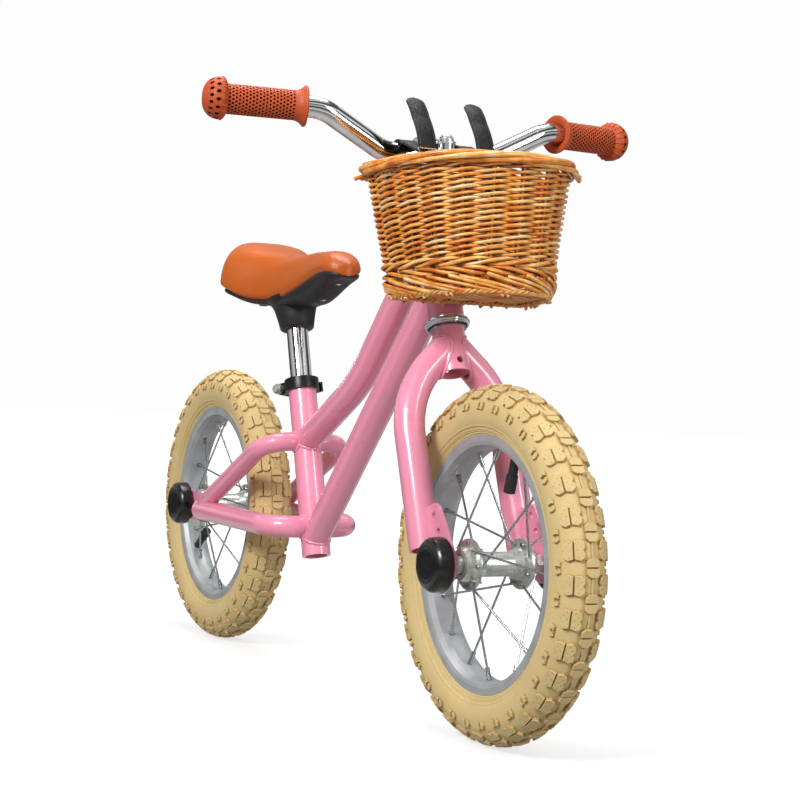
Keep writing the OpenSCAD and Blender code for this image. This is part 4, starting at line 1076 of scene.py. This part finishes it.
def basket_floor(shape):
    """Woven floor: cross sticks with weavers over and under them."""
    level = FOOT_Z + 5 * MM
    line, _ = outline_at(level, 4 * MM)
    low_x, high_x = line[:, 0].min(), line[:, 0].max()
    sticks = np.linspace(-48, 48, 5) * MM
    for y in sticks:
        near = line[np.abs(line[:, 1] - y) < 4 * MM]
        add_rod(shape, tipped([[near[:, 0].min(), y, level], [near[:, 0].max(), y, level]]), 1.9 * MM)
    for row, x in enumerate(np.arange(low_x + 3 * MM, high_x - 4 * MM, 3.3 * MM)):
        inside = line[line[:, 0] >= x]
        reach = np.abs(inside[:, 1]).max() if len(inside) else 0
        if reach < 10 * MM:
            continue
        y = np.linspace(-reach, reach, 41)
        lift = 1.9 * MM * np.cos(math.pi * (y - sticks[0]) / (sticks[1] - sticks[0]) + math.pi * (row % 2))
        add_rod(shape, tipped(np.stack([np.full_like(y, x), y, level + lift], axis=1)), 1.6 * MM, sides=7)


def basket():
    shape = Shape()
    for weave in (basket_wall, basket_wale, basket_border, basket_rim, basket_floor):
        weave(shape)
    make_piece(shape, "willow_basket", "basket", "willow", ["basket"])


basket()


# ---- Straps and buckles

STRAP_Y, STRAP_W, STRAP_T, TAIL_T = 0.0292, 18 * MM, 2.2 * MM, 1.9 * MM
BAR_X, BAR_Z = 0.163, 0.503
CORNER_X, CORNER_Z = 0.2045, 0.494
STRAP_STOPS = [(BAR_X, BAR_Z, BAR_R + 0.35 * MM), (CORNER_X, CORNER_Z, 5.5 * MM),
               (0.2065, 0.475, 6.4 * MM)]
TAIL = [(0.2, 6.5), (1, 12), (-0.5, 18), (-3.5, 24.5), (-8, 31.5), (-13.5, 38.5), (-18.5, 45.5),
        (-24, 51.5), (-30, 57)]


def hull_line(circles, more):
    """The outline round circles in the X-Z plane, as evenly spaced points."""
    dots = []
    for x, z, r in circles:
        for a in turn_angles(120):
            dots.append((x + (r + more) * math.cos(a), z + (r + more) * math.sin(a)))
    dots = sorted(set(dots))

    def chain(points):
        out = []
        for p in points:
            while len(out) > 1 and ((out[-1][0] - out[-2][0]) * (p[1] - out[-2][1])
                                    - (out[-1][1] - out[-2][1]) * (p[0] - out[-2][0])) <= 0:
                out.pop()
            out.append(p)
        return out[:-1]

    ring = chain(dots) + chain(dots[::-1])
    return even_points([(x, 0, z) for x, z in ring], 1.2 * MM, closed=True)


def add_band(shape, path, half_width, thick, y, closed=False):
    """A leather band along path in the X-Z plane, with soft edges. half_width is one per point."""
    n = len(path)
    out = np.cross(directions(path, closed), Y_AXIS)
    half = np.broadcast_to(half_width, (n,))
    corner = 0.45 * MM
    section = [(-1, 0, 0.5, -corner), (-1, 0, -0.5, corner), (-1, corner, -0.5, 0),
               (0, 0, -0.56, 0), (1, -corner, -0.5, 0), (1, 0, -0.5, corner), (1, 0, 0.5, -corner),
               (1, -corner, 0.5, 0), (0, 0, 0.56, 0), (-1, corner, 0.5, 0)]
    verts = []
    for p, o, h in zip(path, out, half):
        for side, shift, level, drop in section:
            across_y = y + side * h + shift
            verts.append(p + Y_AXIS * across_y + o * (level * thick + drop))
    k = len(section)
    faces = ring_faces(n, k, closed_run=closed)
    if not closed:
        faces += [list(range(k))[::-1], [(n - 1) * k + i for i in range(k)]]
    shape.add(verts, faces)
    return out


def add_stitches(shape, path, out, y, thick):
    """A row of short thread stitches lying on both faces of a band."""
    run = run_along(path)
    pitch, length, bow = 2.7 * MM, 1.9 * MM, 0.12 * MM
    for s in np.arange(1.5 * MM, run[-1] - 2.5 * MM, pitch):
        ends = [read_at(s + d, run, path) for d in (0, length)]
        way = read_at(s, run, out)
        for face in (1, -1):
            mid = (ends[0] + ends[1]) / 2 + way * face * bow
            rise = way * face * (thick / 2 + bow) + Y_AXIS * y
            add_rod(shape, np.array([ends[0], mid, ends[1]]) + rise, 0.22 * MM, sides=5, mark=1)


def straps():
    shape = Shape()
    loop = hull_line(STRAP_STOPS, STRAP_T / 2)
    tail = even_points(curve_through([(CORNER_X + x * MM, 0, CORNER_Z + z * MM) for x, z in TAIL], 10),
                       1.0 * MM)
    from_tip = np.linalg.norm(tail - tail[-1], axis=1)
    tip = np.sqrt(np.clip(1 - np.clip((7 * MM - from_tip) / (7 * MM), 0, 1) ** 2, 0.02, 1))
    for y in (-STRAP_Y, STRAP_Y):
        loop_out = add_band(shape, loop, STRAP_W / 2, STRAP_T, y, closed=True)
        tail_out = add_band(shape, tail, STRAP_W / 2 * tip, TAIL_T, y)
        for edge in (-1, 1):
            inset = edge * (STRAP_W / 2 - 2.0 * MM)
            add_stitches(shape, loop, loop_out, y + inset, STRAP_T)
            add_stitches(shape, tail[:-7], tail_out[:-7], y + inset, TAIL_T)
        for s in range(4):
            add_hole(shape, tail, tail_out, 16 + 8 * s, y)
    make_piece(shape, "leather_straps", "basket", "strap_leather", ["basket_straps"], ("stitch_thread",), 50)


def add_hole(shape, path, out, index, y):
    """A buckle hole, shown by the raised ring round it on each face."""
    p, o = path[index] + Y_AXIS * y, out[index]
    first, second = across(o)
    for face in (-1, 1):
        ring = [p + o * face * 0.98 * MM + (math.cos(a) * first + math.sin(a) * second) * 1.5 * MM
                for a in turn_angles(14)]
        add_rod(shape, ring, 0.28 * MM, sides=6, closed=True)


def buckles():
    """Rounded wire frames with a tongue, lying on the corner of each strap."""
    wire = 0.8 * MM
    half_l, half_w, bend = 4.8 * MM, 11.05 * MM, 2.2 * MM
    tip = math.radians(45)
    fore = np.array([math.cos(tip), 0, -math.sin(tip)])
    shape = Shape()
    for y in (-STRAP_Y, STRAP_Y):
        centre = np.array([CORNER_X + 7.4 * MM, y, CORNER_Z + 6 * MM])
        ring = []
        for cx, cy, start in ((1, 1, 0), (-1, 1, 90), (-1, -1, 180), (1, -1, 270)):
            for a in np.radians(np.linspace(start, start + 90, 7)):
                ring.append(centre + fore * (cx * (half_l - bend) + bend * math.cos(a))
                            + Y_AXIS * (cy * (half_w - bend) + bend * math.sin(a)))
        add_rod(shape, ring, wire, sides=12, closed=True)
        lift = np.cross(fore, Y_AXIS)
        tongue = [centre - fore * half_l, centre - fore * 1 * MM - lift * 1.0 * MM,
                  centre + fore * (half_l + 0.6 * MM) - lift * 1.3 * MM]
        add_rod(shape, curve_through(tongue, 5), wire)
    make_piece(shape, "wire_buckles", "basket", "chrome", ["strap_buckles"], finish="buckle_wire")


straps()
buckles()


# ---- Sizes, and the last line

visual_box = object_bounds()
rows = [[list(map(float, corner)) for corner in box] for box in (cad_box, visual_box)]
